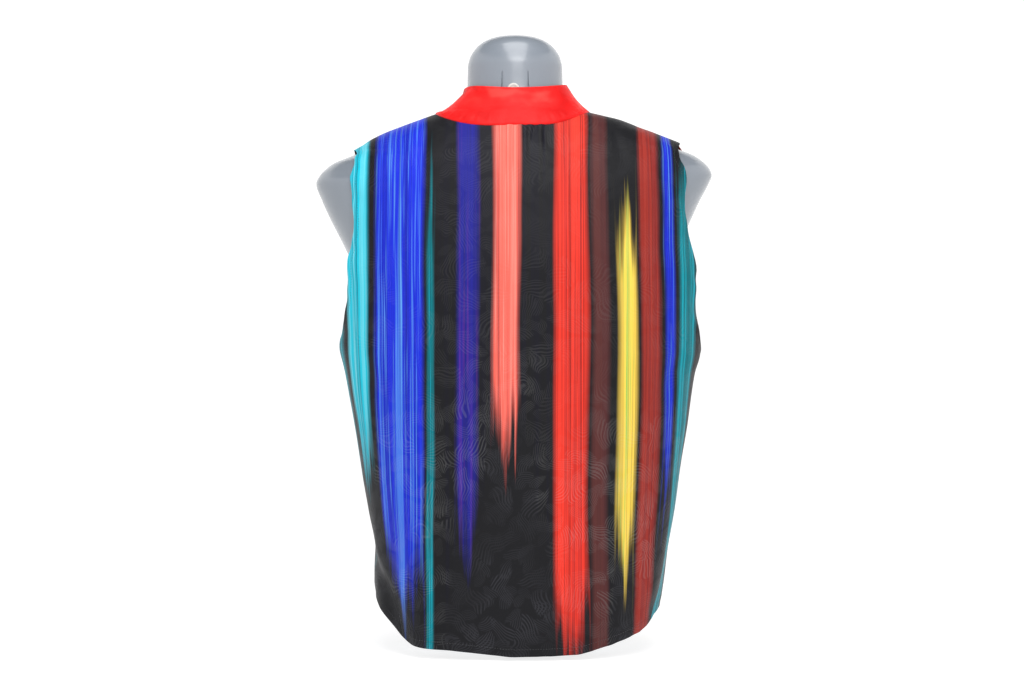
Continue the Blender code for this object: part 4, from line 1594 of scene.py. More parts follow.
@dataclass
class Stitching:
    """Machine stitches laid along the hems, the armholes and the front edges."""

    body: SilkBody
    thread: Material
    button_heights: tuple[float, ...] = BUTTON_HEIGHTS
    pitch: float = 0.0031
    length: float = 0.0024
    thickness: float = 0.00042
    bead_faces: tuple[int, int] = (8, 6)
    size_spread: Pair = (0.88, 1.1)
    seed: int = 7
    sink: float = 0.00006
    hem_inset: float = 0.0085
    hem_rows: tuple[int, int] = (4, -4)
    armhole_inset: float = 0.0070
    armhole_clear: int = 3
    front_inset: float = 0.0060
    front_rows: tuple[int, int] = (5, -6)
    hole_start: float = 0.0030
    hole_end: float = -0.0140
    hole_pitch: float = 0.00045
    hole_stitch: Pair = (1.15, 1.7)
    hole_steps: int = 16
    lip: float = 0.0009
    face_reach: Pair = (0.016, 0.012)
    slope_step: float = 1e-4

    def tree(self) -> NodeTree:
        """Makes the tree that sets one stretched bead of thread at each step of a guide line.

        Returns:
            The tree.
        """
        scatter = ScatterTree("stitch_rows")
        scatter.size("Pitch", self.pitch)
        scatter.size("Length", self.length)
        scatter.size("Width", self.thickness)
        scatter.size("Thickness", self.thickness)
        inputs = {socket.name: socket for socket in scatter.entry.outputs}
        segments, rings = self.bead_faces
        low, high = self.size_spread
        curve = scatter.node("GeometryNodeMeshToCurve", Mesh=inputs["Geometry"])
        even = scatter.node(
            "GeometryNodeResampleCurve", {"mode": "LENGTH"}, Curve=curve.outputs[0], Length=inputs["Pitch"]
        )
        tangent = scatter.node("GeometryNodeInputTangent")
        facing = scatter.node("GeometryNodeInputNamedAttribute", {"data_type": "FLOAT_VECTOR"}, Name="facing")
        turn = scatter.node(
            "FunctionNodeAxesToRotation",
            {"primary_axis": "Z", "secondary_axis": "X"},
            Primary_Axis=facing.outputs[0],
            Secondary_Axis=tangent.outputs[0],
        )
        bead = scatter.node("GeometryNodeMeshUVSphere", Segments=segments, Rings=rings, Radius=0.5)
        size = scatter.node(
            "ShaderNodeCombineXYZ", X=inputs["Length"], Y=inputs["Width"], Z=inputs["Thickness"]
        )
        shaped = scatter.node("GeometryNodeTransform", Geometry=bead.outputs[0], Scale=size.outputs[0])
        spread = scatter.node(
            "FunctionNodeRandomValue", {"data_type": "FLOAT"}, Min=low, Max=high, Seed=self.seed
        )
        value = next(s for s in spread.outputs if s.enabled)
        placed = scatter.node(
            "GeometryNodeInstanceOnPoints",
            Points=even.outputs[0],
            Instance=shaped.outputs[0],
            Rotation=turn.outputs[0],
        )
        scatter.tree.links.new(value, placed.inputs["Scale"])
        return scatter.finish(placed.outputs[0], self.thread)

    def guides(self) -> dict[str, list[Line]]:
        """Draws the guide lines of each panel's stitches.

        Returns:
            For each panel, its lines, each with the cloth's normals along it.
        """
        body, found = self.body, {}
        armhole = slice(body.side_steps + self.armhole_clear, body.side_steps + body.armhole_steps)
        for name, grid in body.grids.items():
            mirrored = grid.flipped()
            outer, centre = {
                "back": ([grid, mirrored], []),
                "front_left": ([mirrored], [grid]),
                "front_right": ([grid], [mirrored]),
            }[name]
            lines = [grid.contour(self.hem_inset, False, slice(*self.hem_rows))]
            lines += [edge.contour(self.armhole_inset, True, armhole) for edge in outer]
            lines += [edge.contour(self.front_inset, True, slice(*self.front_rows)) for edge in centre]
            found[name] = [line for line in lines if len(line[0]) > 2]
        return found

    def guide_mesh(self, lines: Sequence[Line]) -> Mesh:
        """Makes the guide lines loose edges, sunk a little into the cloth.

        Args:
            lines: The guide lines, each its points and normals.

        Returns:
            The mesh.
        """
        points, facings, edges = [], [], []
        for line, normals in lines:
            edges += [(len(points) + i, len(points) + i + 1) for i in range(len(line) - 1)]
            points += (line - normals * self.sink).tolist()
            facings += normals.tolist()
        mesh = bpy.data.meshes.new("stitch_guide")
        mesh.from_pydata(points, edges, [])
        attribute = mesh.attributes.new("facing", "FLOAT_VECTOR", "POINT")
        attribute.data.foreach_set("vector", np.array(facings, np.float32).ravel())
        return mesh

    def lay(self, name: str, lines: Sequence[Line], sizes: dict[str, float]) -> Object:
        """Lays one piece's stitches along its lines and turns them into a plain mesh.

        Args:
            name: The piece's name.
            lines: The guide lines, each its points and normals.
            sizes: The tree's inputs that differ from its own values.

        Returns:
            The piece.
        """
        holder = bpy.data.objects.new("stitch_guide", self.guide_mesh(lines))
        bpy.context.scene.collection.objects.link(holder)
        modifier = holder.modifiers.new("stitches", "NODES")
        modifier.node_group = self.beads
        for item in self.beads.interface.items_tree:
            if item.item_type == "SOCKET" and item.in_out == "INPUT" and item.name != "Geometry":
                modifier[item.identifier] = sizes.get(item.name, item.default_value)
        graph = bpy.context.evaluated_depsgraph_get()
        mesh = bpy.data.meshes.new_from_object(holder.evaluated_get(graph))
        bpy.data.objects.remove(holder)
        return settle(link_mesh(name, mesh, self.thread))

    def buttonhole(self, height: float) -> list[Line]:
        """The two lips and the two bars of one buttonhole, laid on the left front's own face.

        Args:
            height: How high the button stands.

        Returns:
            The guide lines of its stitches.
        """
        points = self.body.grids["front_left"].outer.reshape(-1, 3)
        start, end, lip, step = self.hole_start, self.hole_end, self.lip, self.slope_step
        middle, (reach_x, reach_z) = (start + end) / 2, self.face_reach
        near = points[(np.abs(points[:, 0] - middle) < reach_x) & (np.abs(points[:, 2] - height) < reach_z)]

        def terms(x: Array, z: Array) -> Array:
            """The terms of the curved face fitted to the cloth."""
            x, z = x - middle, z - height
            return np.stack([np.ones_like(x), x, z, x * x, x * z, z * z], axis=-1)

        fit = np.linalg.lstsq(terms(near[:, 0], near[:, 2]), near[:, 1], rcond=None)[0]
        lines = []
        for (x0, z0), (x1, z1) in (
            ((start, lip), (end, lip)),
            ((start, -lip), (end, -lip)),
            ((start, -2 * lip), (start, 2 * lip)),
            ((end, -2 * lip), (end, 2 * lip)),
        ):
            x, z = np.linspace(x0, x1, self.hole_steps), height + np.linspace(z0, z1, self.hole_steps)
            slope_x = (terms(x + step, z) - terms(x - step, z)) @ fit / (2 * step)
            slope_z = (terms(x, z + step) - terms(x, z - step)) @ fit / (2 * step)
            normals = unit(np.stack([-slope_x, np.ones_like(x), -slope_z], axis=-1))
            lines.append((np.stack([x, terms(x, z) @ fit, z], axis=-1), normals))
        return lines

    def build(self) -> list[Object]:
        """Lays each panel's stitches, then the buttonholes'.

        Returns:
            The pieces.
        """
        self.beads = self.tree()
        made = [self.lay(f"{name}_stitches", lines, {}) for name, lines in self.guides().items()]
        holes = [line for height in self.button_heights for line in self.buttonhole(height)]
        length, width = self.hole_stitch
        sizes = {"Pitch": self.hole_pitch, "Length": self.hole_pitch * length, "Width": self.lip * width}
        made.append(self.lay("buttonhole_stitches", holes, sizes))
        return made


# Radians in one wave of a woven or spun pattern
WAVE = 6.283
EASED = {"interpolation_type": "SMOOTHSTEP"}


def linear(colour: Screen) -> Shade:
    """Turns a screen colour, 0 to 255 in each part, into the light that a shader takes."""
    parts = (value / 255 for value in colour)
    return (*(part / 12.92 if part <= 0.04045 else ((part + 0.055) / 1.055) ** 2.4 for part in parts), 1.0)


class Wire:
    """A number that runs through a shader, which Python's own operators combine."""

    def __init__(self, graph: "ShaderGraph", socket: NodeSocket) -> None:
        """Wraps an output socket of a graph's node."""
        self.graph, self.socket = graph, socket

    def __add__(self, other: "Wire | Number") -> "Wire":
        """This plus the other."""
        return self.graph.math("ADD", self, other)

    __radd__ = __add__

    def __sub__(self, other: "Wire | Number") -> "Wire":
        """This less the other."""
        return self.graph.math("SUBTRACT", self, other)

    def __rsub__(self, other: Number) -> "Wire":
        """The other less this."""
        return self.graph.math("SUBTRACT", other, self)

    def __mul__(self, other: "Wire | Number") -> "Wire":
        """This times the other."""
        return self.graph.math("MULTIPLY", self, other)

    __rmul__ = __mul__

    def __gt__(self, other: "Wire | Number") -> "Wire":
        """One where this is the greater, or else nought."""
        return self.graph.math("GREATER_THAN", self, other)

    def ease(self, low: Number, high: Number) -> "Wire":
        """Eases this from nought at the low value to one at the high one."""
        return self.graph.wire("ShaderNodeMapRange", EASED, {0: self, 1: low, 2: high})


Value = Union[Wire, Number, tuple, NodeSocket]
Spot = tuple[Wire, Wire]
Stops = list[tuple[float, tuple]]
Reading = Callable[["Stripe", float], tuple]


class ShaderGraph:
    """A material's node tree, built by method calls."""

    def __init__(self, name: str) -> None:
        """Starts a material with a Principled surface.

        Args:
            name: The material's name.
        """
        self.material = bpy.data.materials.new(name)
        self.material.use_nodes = True
        self.tree = self.material.node_tree
        self.surface = self.tree.nodes["Principled BSDF"]

    def connect(self, socket: NodeSocket, value: Value) -> None:
        """Gives a socket a value or a link.

        Args:
            socket: The socket.
            value: What it takes.
        """
        if isinstance(value, Wire):
            value = value.socket
        if isinstance(value, NodeSocket):
            self.tree.links.new(value, socket)
        else:
            socket.default_value = value

    def node(self, kind: str, settings: dict[str, object], inputs: dict[int | str, Value]) -> Node:
        """Adds a node.

        Args:
            kind: The node's type.
            settings: Its settings, made first; "stops" fills a colour ramp.
            inputs: Values or links for its sockets, by index or name.

        Returns:
            The node.
        """
        node = self.tree.nodes.new(kind)
        for key, value in settings.items():
            if key == "stops":
                elements = node.color_ramp.elements
                while len(elements) < len(value):
                    elements.new(0.5)
                for element, (place, colour) in zip(elements, value):
                    element.position, element.color = place, colour
            else:
                setattr(node, key, value)
        for key, value in inputs.items():
            self.connect(node.inputs[key], value)
        return node

    def wire(self, kind: str, settings: dict[str, object], inputs: dict[int | str, Value]) -> Wire:
        """Adds a node and wraps its first output."""
        return Wire(self, self.node(kind, settings, inputs).outputs[0])

    def math(self, operation: str, *values: Value) -> Wire:
        """A Math node on one, two or three values."""
        return self.wire("ShaderNodeMath", {"operation": operation}, dict(enumerate(values)))

    def vector(self, x: Value, y: Value, z: Value = 0.0) -> NodeSocket:
        """A vector of three numbers."""
        return self.node("ShaderNodeCombineXYZ", {}, {0: x, 1: y, 2: z}).outputs[0]

    def parts(self, vector: NodeSocket) -> list[Wire]:
        """The three numbers of a vector."""
        return [Wire(self, socket) for socket in self.node("ShaderNodeSeparateXYZ", {}, {0: vector}).outputs]

    def mix(self, first: Value, second: Value, share: Value) -> NodeSocket:
        """Mixes two colours by a share."""
        return self.node("ShaderNodeMix", {"data_type": "RGBA"}, {0: share, 6: first, 7: second}).outputs[2]

    def noise(self, place: NodeSocket, scale: float = 1.0, detail: float = 2.0, rough: float = 0.5) -> Wire:
        """Smooth noise from nought to one."""
        inputs = {"Vector": place, "Scale": scale, "Detail": detail, "Roughness": rough}
        return self.wire("ShaderNodeTexNoise", {}, inputs)

    def ramp(self, place: Value, stops: Sequence[tuple[float, tuple]]) -> NodeSocket:
        """Reads a colour ramp."""
        return self.node("ShaderNodeValToRGB", {"stops": stops}, {0: place}).outputs[0]

    def cloth_noise(
        self, place: Spot, rates: Pair, start: float, detail: float = 1.0, rough: float = 0.5
    ) -> Wire:
        """Smooth noise on cloth."""
        (across, upward), (wide, high) = place, rates
        return self.noise(self.vector(across * wide, upward * high, start), detail=detail, rough=rough)

    def weave(self, place: Spot, across_pitch: float, upward_pitch: float) -> Wire:
        """A plain weave, as a product of waves."""
        return self.wave(place[0], across_pitch) * self.wave(place[1], upward_pitch)

    def wave(self, run: Wire, pitch: float) -> Wire:
        """A wave with a pitch in metres."""
        return self.math("SINE", run * (WAVE / pitch))

    def bump(self, height: Value, distance: float) -> None:
        """Raises the surface by a height from nought to one times a distance in metres."""
        raised = self.node("ShaderNodeBump", {}, {"Height": height, "Distance": distance, "Strength": 1.0})
        self.connect(self.surface.inputs["Normal"], raised.outputs[0])

    def set(self, **inputs: Value) -> None:
        """Sets the surface's sockets, by name with _ for a space."""
        for key, value in inputs.items():
            self.connect(self.surface.inputs[key.replace("_", " ")], value)

    def cloth_place(self) -> Spot:
        """The metres across and up the cloth."""
        return tuple(self.parts(self.node("ShaderNodeUVMap", {"uv_map": CLOTH_MAP}, {}).outputs[0])[:2])

    def object_place(self) -> NodeSocket:
        """The place on the object, in metres."""
        return self.node("ShaderNodeTexCoord", {}, {}).outputs["Object"]

    def attribute(self, name: str) -> Wire:
        """A number kept on the mesh's points."""
        node = self.node("ShaderNodeAttribute", {"attribute_name": name, "attribute_type": "GEOMETRY"}, {})
        return Wire(self, node.outputs["Fac"])


@dataclass(frozen=True)
class Stripe:
    """One printed stripe: where it lies, its colours, and where its soft ends are."""

    centre: float
    half_width: float
    colour: Screen
    accent: Screen
    low: float = -0.2
    high: float = 0.9
    streaks: float = 0.6


TEAL, CYAN, PALE_CYAN = (0, 118, 128), (20, 200, 225), (150, 235, 245)
COBALT, PALE_BLUE, NAVY, VIOLET = (24, 44, 212), (110, 185, 250), (28, 30, 138), (96, 40, 150)
CORAL, ROSE, RED, DARK_RED = (250, 104, 90), (255, 165, 150), (240, 58, 42), (120, 24, 20)
MAROON, BROWN, BRICK = (88, 44, 42), (52, 30, 32), (160, 50, 40)
YELLOW, GREEN, ORANGE = (250, 212, 84), (84, 190, 92), (240, 130, 40)

# The back runs from -0.25 to 0.25; beyond them lie the fronts, whose centre edges are at 0.48.
STRIPES = (
    Stripe(-0.448, 0.013, ORANGE, YELLOW, low=0.30),
    Stripe(-0.410, 0.020, CORAL, RED, high=0.44),
    Stripe(-0.366, 0.011, NAVY, VIOLET),
    Stripe(-0.326, 0.014, CYAN, PALE_CYAN, low=0.18),
    Stripe(-0.286, 0.018, COBALT, PALE_BLUE, high=0.52),
    Stripe(-0.234, 0.012, TEAL, CYAN, low=0.10, high=0.50),
    Stripe(-0.193, 0.016, CYAN, PALE_CYAN, low=0.21),
    Stripe(-0.136, 0.030, COBALT, PALE_BLUE, low=0.06),
    Stripe(-0.098, 0.004, TEAL, CYAN, high=0.56),
    Stripe(-0.054, 0.012, NAVY, VIOLET, low=0.12),
    Stripe(-0.010, 0.014, CORAL, ROSE, low=0.24),
    Stripe(0.064, 0.019, RED, DARK_RED, low=0.00),
    Stripe(0.098, 0.009, MAROON, BROWN, streaks=0.3),
    Stripe(0.130, 0.011, YELLOW, GREEN, low=0.10, high=0.54),
    Stripe(0.158, 0.012, BRICK, DARK_RED),
    Stripe(0.184, 0.006, COBALT, PALE_BLUE, low=0.16),
    Stripe(0.212, 0.014, TEAL, CYAN, high=0.60),
    Stripe(0.276, 0.015, BRICK, RED, low=0.14),
    Stripe(0.308, 0.008, YELLOW, GREEN, high=0.40),
    Stripe(0.348, 0.018, TEAL, CYAN, low=0.08),
    Stripe(0.400, 0.018, COBALT, PALE_BLUE, high=0.58),
    Stripe(0.440, 0.008, MAROON, BROWN),
)


@dataclass(frozen=True)
class PrintedSilk:
    """Black jacquard silk with plain soft stripes printed up it, its woven figure lifted by painted sheen."""

    ground: Screen = (21, 21, 24)
    # The lighter grey of the painted sheen on the woven figure
    ground_painted_sheen: Screen = (58, 58, 64)
    ink_deep: Screen = (14, 12, 40)
    ink_line: Screen = (16, 14, 18)
    ink_shade: Screen = (12, 12, 14)
    ink_shading: float = 0.16
    segment: float = 0.25
    segments: tuple[float, ...] = (-0.5, -0.25, 0.0, 0.25)
    soft: float = 0.0030
    soft_share: float = 0.45
    level_shift: float = 0.2
    end_lift: float = 0.075
    end_fade: float = 0.045
    wander: Pair = (0.010, 0.10)
    drag: Pair = (0.0016, 0.16)
    leaf_scales: Pair = (34.0, 52.0)
    leaf_sway: float = 1.1
    leaf_strokes: float = 58.0
    leaf_half_width: float = 0.40
    leaf_taper: float = 0.85
    weave_pitch: Pair = (0.00052, 0.00060)
    hem_turn: Pair = (0.0082, 0.0094)
    groove_width: float = 0.0013
    relief: float = 0.0004
    gloss_plain: float = 0.44
    gloss_figure: float = 0.33
    specular: float = 0.13

    def stops(self, start: float, of: Reading, gap: tuple, ends: bool) -> Stops:
        """A ramp's stops over one segment of the cloth.

        Args:
            start: Where the segment starts.
            of: Gives a stripe's value at its centre, 0, or at its edge, 1.
            gap: The value between stripes.
            ends: Whether the stops run in a peak over each stripe, or else in a soft-edged flat.

        Returns:
            The stops, in order.
        """
        found: Stops = []
        for stripe in STRIPES:
            c, w, s = stripe.centre, stripe.half_width, min(self.soft, stripe.half_width * self.soft_share)
            if ends:
                marks = [(c - w, of(stripe, 1)), (c, of(stripe, 0)), (c + w, of(stripe, 1))]
            else:
                marks = [(c - w - s, gap), (c - w + s, of(stripe, 1))]
                marks += [(c + w - s, of(stripe, 0)), (c + w + s, gap)]
            found += [((place - start) / self.segment, value) for place, value in marks]
        found.sort(key=lambda mark: mark[0])
        inside = [mark for mark in found if 0 < mark[0] < 1]
        before = [mark for mark in found if mark[0] <= 0][-1:]
        after = [mark for mark in found if mark[0] >= 1][:1]
        return [(0.0, before[0][1] if before else gap), *inside, (1.0, after[0][1] if after else gap)]

    def read(
        self, graph: ShaderGraph, across: Wire, of: Reading, gap: tuple, ends: bool = False
    ) -> NodeSocket:
        """Reads a value of the stripes over the whole width of the cloth.

        Args:
            graph: The material's graph.
            across: The metres across the cloth.
            of: Gives a stripe's value at its centre, 0, or at its edge, 1.
            gap: The value between stripes.
            ends: Whether the value runs in a peak over each stripe.

        Returns:
            The value, as a colour.
        """
        whole = None
        for start in self.segments:
            ramp = graph.ramp((across - start) * (1 / self.segment), self.stops(start, of, gap, ends))
            whole = ramp if whole is None else graph.mix(whole, ramp, across > start)
        return whole

    def stripes(self, graph: ShaderGraph, place: Spot) -> tuple[NodeSocket, Wire]:
        """Prints the stripes.

        Args:
            graph: The material's graph.
            place: The metres across and up the cloth.

        Returns:
            The printed colour, and how much of it covers the ground.
        """
        across, upward = place
        wander = graph.cloth_noise(place, (9, 4.5), 3.1) - 0.5
        drag = graph.cloth_noise(place, (260, 7), 1.7, detail=3.0) - 0.5
        moved = across + wander * self.wander[0] + drag * self.drag[0]
        fine = graph.cloth_noise(place, (520, 4), 8.3, detail=3.0, rough=0.62)
        lines = graph.cloth_noise(place, (760, 1.2), 5.2)
        broad = graph.cloth_noise(place, (190, 0.9), 2.4)
        colour = self.read(graph, moved, lambda stripe, edge: linear(stripe.colour), linear(self.ground))
        accent = self.read(graph, moved, lambda stripe, edge: linear(stripe.accent), linear(self.ground))

        def ends_of(stripe: Stripe, edge: float) -> tuple:
            """The heights of a stripe's ends, shifted to fit a colour, and its streaks."""
            low, high = self.level_shift + stripe.low, self.level_shift + stripe.high
            return (low + self.end_lift * edge, high - self.end_lift * edge, stripe.streaks, 1.0)

        low, high, streaks = graph.parts(self.read(graph, moved, ends_of, (0.5, 0.5, 0.0, 1.0), ends=True))
        level = upward + self.level_shift + drag * self.drag[1] + wander * self.wander[1]
        fade = (-self.end_fade, self.end_fade)
        cover = (level - low).ease(*fade) * (high - level).ease(*fade)
        colour = graph.mix(colour, linear(self.ink_deep), broad.ease(0.50, 0.58) * streaks * 0.42)
        colour = graph.mix(colour, accent, (1 - broad).ease(0.56, 0.62) * streaks * 0.55)
        colour = graph.mix(colour, accent, fine.ease(0.52, 0.70) * streaks)
        colour = graph.mix(colour, linear(self.ink_line), lines.ease(0.60, 0.70) * streaks * 0.75)
        return colour, cover

    def leaves(self, graph: ShaderGraph, place: Spot, scale: float, seed: float) -> Wire:
        """Weaves bundles of curved strokes, like feathered leaves lying every way.

        Args:
            graph: The material's graph.
            place: The metres across and up the cloth.
            scale: How many leaves stand to a metre.
            seed: Sets one weave's leaves apart from another's.

        Returns:
            How much the figure shows.
        """
        across, upward = place
        sway_x, sway_y = (graph.cloth_noise(place, (26, 26), start) - 0.5 for start in (seed, seed + 4))
        bent_x = across * scale + sway_x * self.leaf_sway + seed
        bent = graph.vector(bent_x, upward * scale + sway_y * self.leaf_sway)
        flat, less = {"voronoi_dimensions": "2D"}, {"operation": "SUBTRACT"}
        cells = graph.node("ShaderNodeTexVoronoi", flat, {"Vector": bent, "Scale": 1.0})
        local = graph.node("ShaderNodeVectorMath", less, {0: bent, 1: cells.outputs["Position"]})
        x, y, _ = graph.parts(local.outputs[0])
        turn, curl, _ = graph.parts(cells.outputs["Color"])
        cosine, sine = graph.math("COSINE", turn * WAVE), graph.math("SINE", turn * WAVE)
        side, along = x * cosine + y * sine, y * cosine - x * sine
        bend = side + along * along * (curl * 1.6 - 0.8 + 0.4)
        strokes = graph.math("SINE", bend * self.leaf_strokes).ease(-0.1, 0.7)
        blade = self.leaf_half_width - along * along * self.leaf_taper - graph.math("ABSOLUTE", side)
        return strokes * blade.ease(0.0, 0.12)

    def material(self) -> Material:
        """Builds the silk.

        Returns:
            The material.
        """
        graph = ShaderGraph("printed_silk")
        place = graph.cloth_place()
        colour, cover = self.stripes(graph, place)
        first = self.leaves(graph, place, self.leaf_scales[0], 2.0)
        second = self.leaves(graph, place, self.leaf_scales[1], 9.0)
        figure = graph.math("MAXIMUM", first, second * 0.8)
        cloud = graph.cloth_noise(place, (11, 11), 6.0, detail=2.0)
        # The figure, and its painted sheen with it, grows stronger towards the bottom of the cloth
        lower = (0.46 - place[1]).ease(0.0, 0.34) * 0.72 + 0.28
        figure = figure * (cloud.ease(0.36, 0.60) * 0.7 + 0.3) * lower
        # Painted sheen: the woven figure lifts the black ground towards a lighter grey and whitens the print
        # a little
        ground = graph.mix(linear(self.ground), linear(self.ground_painted_sheen), figure * 0.50)
        printed = graph.mix(colour, (1.0, 1.0, 1.0, 1.0), figure * 0.05)
        printed = graph.mix(printed, linear(self.ink_shade), self.ink_shading)
        turned = 1 - graph.attribute(EDGE_DISTANCE).ease(*self.hem_turn)
        groove = graph.attribute(SEAM_DISTANCE).ease(0.0, self.groove_width)
        crush = graph.cloth_noise(place, (95, 70), 2.0, detail=3.0)
        weave = graph.weave(place, *self.weave_pitch)
        graph.bump(figure * 0.10 + weave * 0.05 + turned * 0.50 + groove * 0.60 + crush * 0.16, self.relief)
        graph.set(
            Base_Color=graph.mix(ground, printed, cover),
            Roughness=self.gloss_plain - figure * (self.gloss_plain - self.gloss_figure) + cloud * 0.06,
            Specular_IOR_Level=self.specular,
        )
        return graph.material


@dataclass(frozen=True)
class CollarSatin:
    """Plain red satin, clouded at random with painted shade and painted sheen, with a fine weave."""

    colour: Screen = (228, 28, 27)
    # The darker red of the painted shade and the lighter red of the painted sheen
    shade: Screen = (198, 14, 14)
    light: Screen = (244, 66, 60)
    weave_pitch: float = 0.00045
    groove_width: float = 0.0012
    fold_width: float = 0.001
    relief: float = 0.0003
    roughness: float = 0.52
    specular: float = 0.14

    def material(self) -> Material:
        """Builds the satin.

        Returns:
            The material.
        """
        graph = ShaderGraph("collar_satin")
        place = graph.cloth_place()
        cloud = graph.cloth_noise(place, (22, 34), 1.0, detail=2.0)
        slub = graph.cloth_noise(place, (60, 1900), 4.0, detail=2.0)
        weave = graph.weave(place, self.weave_pitch, self.weave_pitch)
        # Random clouds of painted shade and painted sheen over the red; the slubs take a little of the same
        # darker red
        colour = graph.mix(linear(self.shade), linear(self.colour), cloud.ease(0.30, 0.55))
        colour = graph.mix(colour, linear(self.light), cloud.ease(0.54, 0.74) * 0.8)
        colour = graph.mix(colour, linear(self.shade), slub.ease(0.58, 0.75) * 0.25)
        groove = graph.attribute(SEAM_DISTANCE).ease(0.0, self.groove_width)
        fold = graph.attribute(EDGE_DISTANCE).ease(0.0, self.fold_width)
        graph.bump(weave * 0.06 + slub * 0.10 + groove * 0.6 + fold * 0.1, self.relief)
        roughness = self.roughness - cloud * 0.12
        graph.set(Base_Color=colour, Roughness=roughness, Specular_IOR_Level=self.specular)
        return graph.material


@dataclass(frozen=True)
class MouldedPlastic:
    """Glossy moulded plastic with a faint orange-peel skin."""

    name: str
    colour: Screen
    worn: Screen
    roughness: float = 0.34
    coat: float = 0.85
    coat_roughness: float = 0.18
    peel_scale: float = 520.0
    cloud_scale: float = 9.0
    scuff_scale: float = 70.0
    relief: float = 0.00005

    def material(self) -> Material:
        """Builds the plastic.

        Returns:
            The material.
        """
        graph = ShaderGraph(self.name)
        place = graph.object_place()
        peel = graph.noise(place, scale=self.peel_scale, detail=2.0)
        cloud = graph.noise(place, scale=self.cloud_scale, detail=3.0)
        scuff = graph.noise(place, scale=self.scuff_scale, detail=6.0, rough=0.7)
        graph.bump(peel + scuff * 0.3, self.relief)
        graph.set(
            Base_Color=graph.mix(linear(self.colour), linear(self.worn), cloud.ease(0.35, 0.70) * 0.35),
            Roughness=self.roughness + scuff * 0.08 + cloud * 0.05,
            Coat_Weight=self.coat,
            Coat_Roughness=self.coat_roughness,
        )
        return graph.material


@dataclass(frozen=True)
class SewingThread:
    """Spun black thread with its twist, lightened by painted sheen along the twist's ridges."""

    colour: Screen = (26, 25, 28)
    # The grey of the painted sheen
    light: Screen = (66, 64, 70)
    twist_pitch: float = 0.00042
    twist_lean: float = 1.3
    fuzz_scale: float = 2600.0
    relief: float = 0.00006
    roughness: float = 0.6
    sheen: float = 0.2

    def material(self) -> Material:
        """Builds the thread.

        Returns:
            The material.
        """
        graph = ShaderGraph("sewing_thread")
        place = graph.object_place()
        x, y, z = graph.parts(place)
        twist = graph.wave(x + y + z * self.twist_lean, self.twist_pitch)
        fuzz = graph.noise(place, scale=self.fuzz_scale, detail=2.0)
        # Painted sheen along the twist's ridges; the fuzz also lightens the thread at random
        colour = graph.mix(linear(self.colour), linear(self.light), twist.ease(0.1, 0.9) * 0.5 + fuzz * 0.3)
        graph.bump(twist * 0.5 + fuzz * 0.5, self.relief)
        graph.set(Base_Color=colour, Roughness=self.roughness - fuzz * 0.15, Sheen_Weight=self.sheen)
        return graph.material


@dataclass(frozen=True)
class StudioPaper:
    """Matt white paper for the floor and the backdrop, which lights itself up evenly."""

    shade: float = 0.42
    fibre_shade: float = 0.41
    fibre_scale: float = 90.0
    roughness: float = 0.9
    specular: float = 0.1
    glow: float = 0.78

    def material(self) -> Material:
        """Builds the paper.

        Returns:
            The material.
        """
        graph = ShaderGraph("studio_paper")
        fibre = graph.noise(graph.object_place(), scale=self.fibre_scale, detail=3.0)
        colour = graph.mix((*[self.shade] * 3, 1.0), (*[self.fibre_shade] * 3, 1.0), fibre)
        graph.set(Base_Color=colour, Roughness=self.roughness, Specular_IOR_Level=self.specular)
        graph.set(Emission_Color=(1.0, 1.0, 1.0, 1.0), Emission_Strength=self.glow)
        graph.material.cycles.emission_sampling = "NONE"
        return graph.material


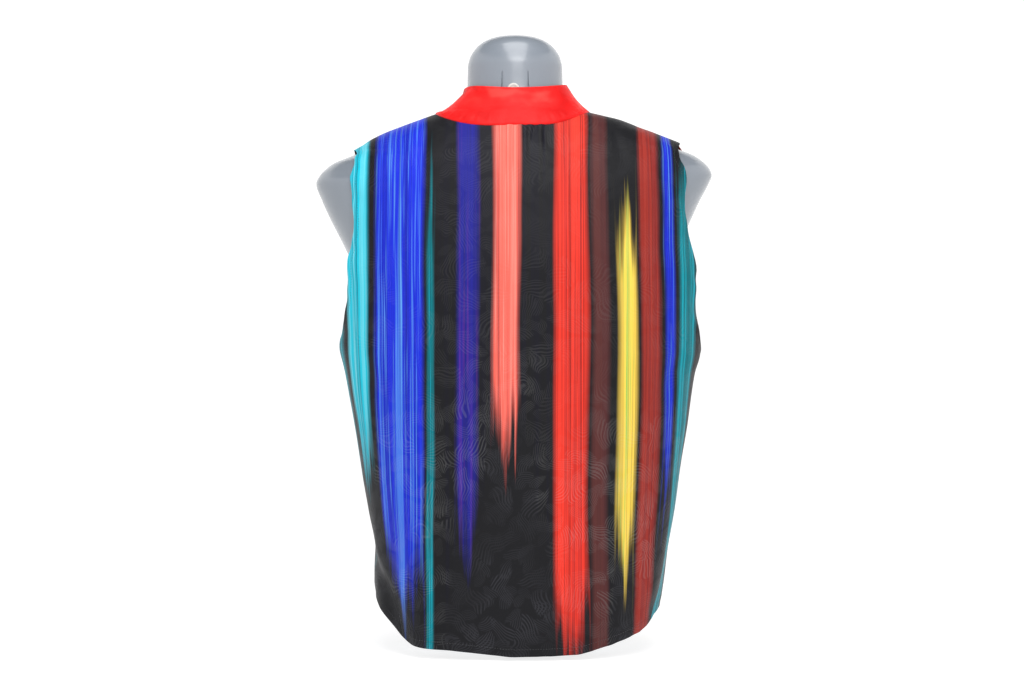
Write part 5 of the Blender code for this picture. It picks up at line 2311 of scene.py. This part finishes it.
@dataclass
class Studio:
    """A pale bowl of paper, soft white light, and the camera of the photograph."""

    camera_place: Place = (-0.0036, -2.6, 0.367)
    lens: float = 76.17
    sensor: float = 36.0
    nearest: float = 0.02
    floor_rings: tuple[float, ...] = (0.5, 2.0, 5.2)
    curve: float = 1.2
    curve_rings: int = 16
    wall_top: float = 5.0
    columns: int = 72
    world_light: float = 0.12
    # name, place of its middle, point that it looks at, width and height, power in watts
    lamps: tuple[tuple[str, Place, Place, Pair, float], ...] = (
        ("key_softbox", (0.25, -2.2, 1.60), (0, 0, 0.55), (1.1, 1.1), 10),
        ("top_softbox", (0.06, -0.70, 1.85), (0, 0, 0.72), (1.05, 2.1), 27),
    )

    def camera(self) -> None:
        """Sets the camera level with the middle of the back, looking along +Y."""
        data = bpy.data.cameras.new("studio_camera")
        data.lens, data.sensor_width, data.clip_start = self.lens, self.sensor, self.nearest
        made = bpy.data.objects.new("studio_camera", data)
        made.location = self.camera_place
        made.rotation_euler = (QUARTER_TURN, 0, 0)
        bpy.context.scene.collection.objects.link(made)
        bpy.context.scene.camera = made

    def bowl(self) -> None:
        """Makes the floor and the wall round it in one curved sheet."""
        edge, turns = self.floor_rings[-1], np.linspace(0, QUARTER_TURN, self.curve_rings + 1)[1:]
        profile = [(radius, 0.0) for radius in self.floor_rings]
        profile += [(edge + self.curve * math.sin(turn), self.curve * (1 - math.cos(turn))) for turn in turns]
        profile.append((edge + self.curve, self.wall_top))
        turns = np.linspace(0, 2 * HALF_TURN, self.columns, endpoint=False)
        points = [(r * math.cos(t), r * math.sin(t), z) for r, z in profile for t in turns]
        walls = ring_walls(len(profile), self.columns, inward=True).tolist()
        mesh = bpy.data.meshes.new("studio_bowl")
        mesh.from_pydata(points, [], [list(range(self.columns)), *walls])
        made = link_mesh("studio_bowl", mesh, StudioPaper().material())

    def lamp(self, name: str, place: Place, aim: Place, size: Pair, power: float) -> None:
        """Hangs a softbox that looks at a point.

        Args:
            name: The lamp's name.
            place: Where its middle hangs.
            aim: The point that it looks at.
            size: Its width and its height.
            power: Its power in watts.
        """
        data = bpy.data.lights.new(name, "AREA")
        data.shape, data.energy = "RECTANGLE", power
        data.size, data.size_y = size
        made = bpy.data.objects.new(name, data)
        made.location = place
        made.rotation_euler = (Vector(aim) - Vector(place)).to_track_quat("-Z", "Y").to_euler()
        bpy.context.scene.collection.objects.link(made)

    def light(self) -> None:
        """Lights the whole from in front and above, with an even white surround."""
        for lamp in self.lamps:
            self.lamp(*lamp)
        world = bpy.data.worlds.new("studio_world")
        world.use_nodes = True
        background = world.node_tree.nodes["Background"]
        background.inputs[0].default_value = (1, 1, 1, 1)
        background.inputs[1].default_value = self.world_light
        bpy.context.scene.world = world
        bpy.context.scene.view_settings.view_transform = "Standard"

    def build(self) -> None:
        """Sets the studio up."""
        self.camera()
        self.bowl()
        self.light()


def main() -> None:
    """Builds the waistcoat, the form under it and the studio round them."""
    logging.basicConfig(level=logging.INFO, format="%(name)s: %(message)s")
    Studio().build()
    surface, drape = WornSurface(), Drape()
    neckline, edges = Neckline(surface), CutEdges(drape)
    grain = Grain(surface)
    thread = SewingThread().material()
    plastic = MouldedPlastic("form_plastic", (121, 128, 137), (111, 118, 127)).material()
    pale_plastic = MouldedPlastic("cap_plastic", (184, 181, 176), (160, 158, 154)).material()
    resin = MouldedPlastic("button_resin", (17, 17, 19), (30, 30, 33), roughness=0.24, coat=0.15).material()
    TorsoForm(surface, plastic, pale_plastic).build()
    body = SilkBody(surface, drape, edges, neckline, grain, PrintedSilk().material())
    body.build()
    CollarBand(surface, neckline, CollarSatin().material()).build()
    Buttons(body, resin, thread).build()
    Stitching(body, thread).build()


if __name__ == "__main__":
    main()
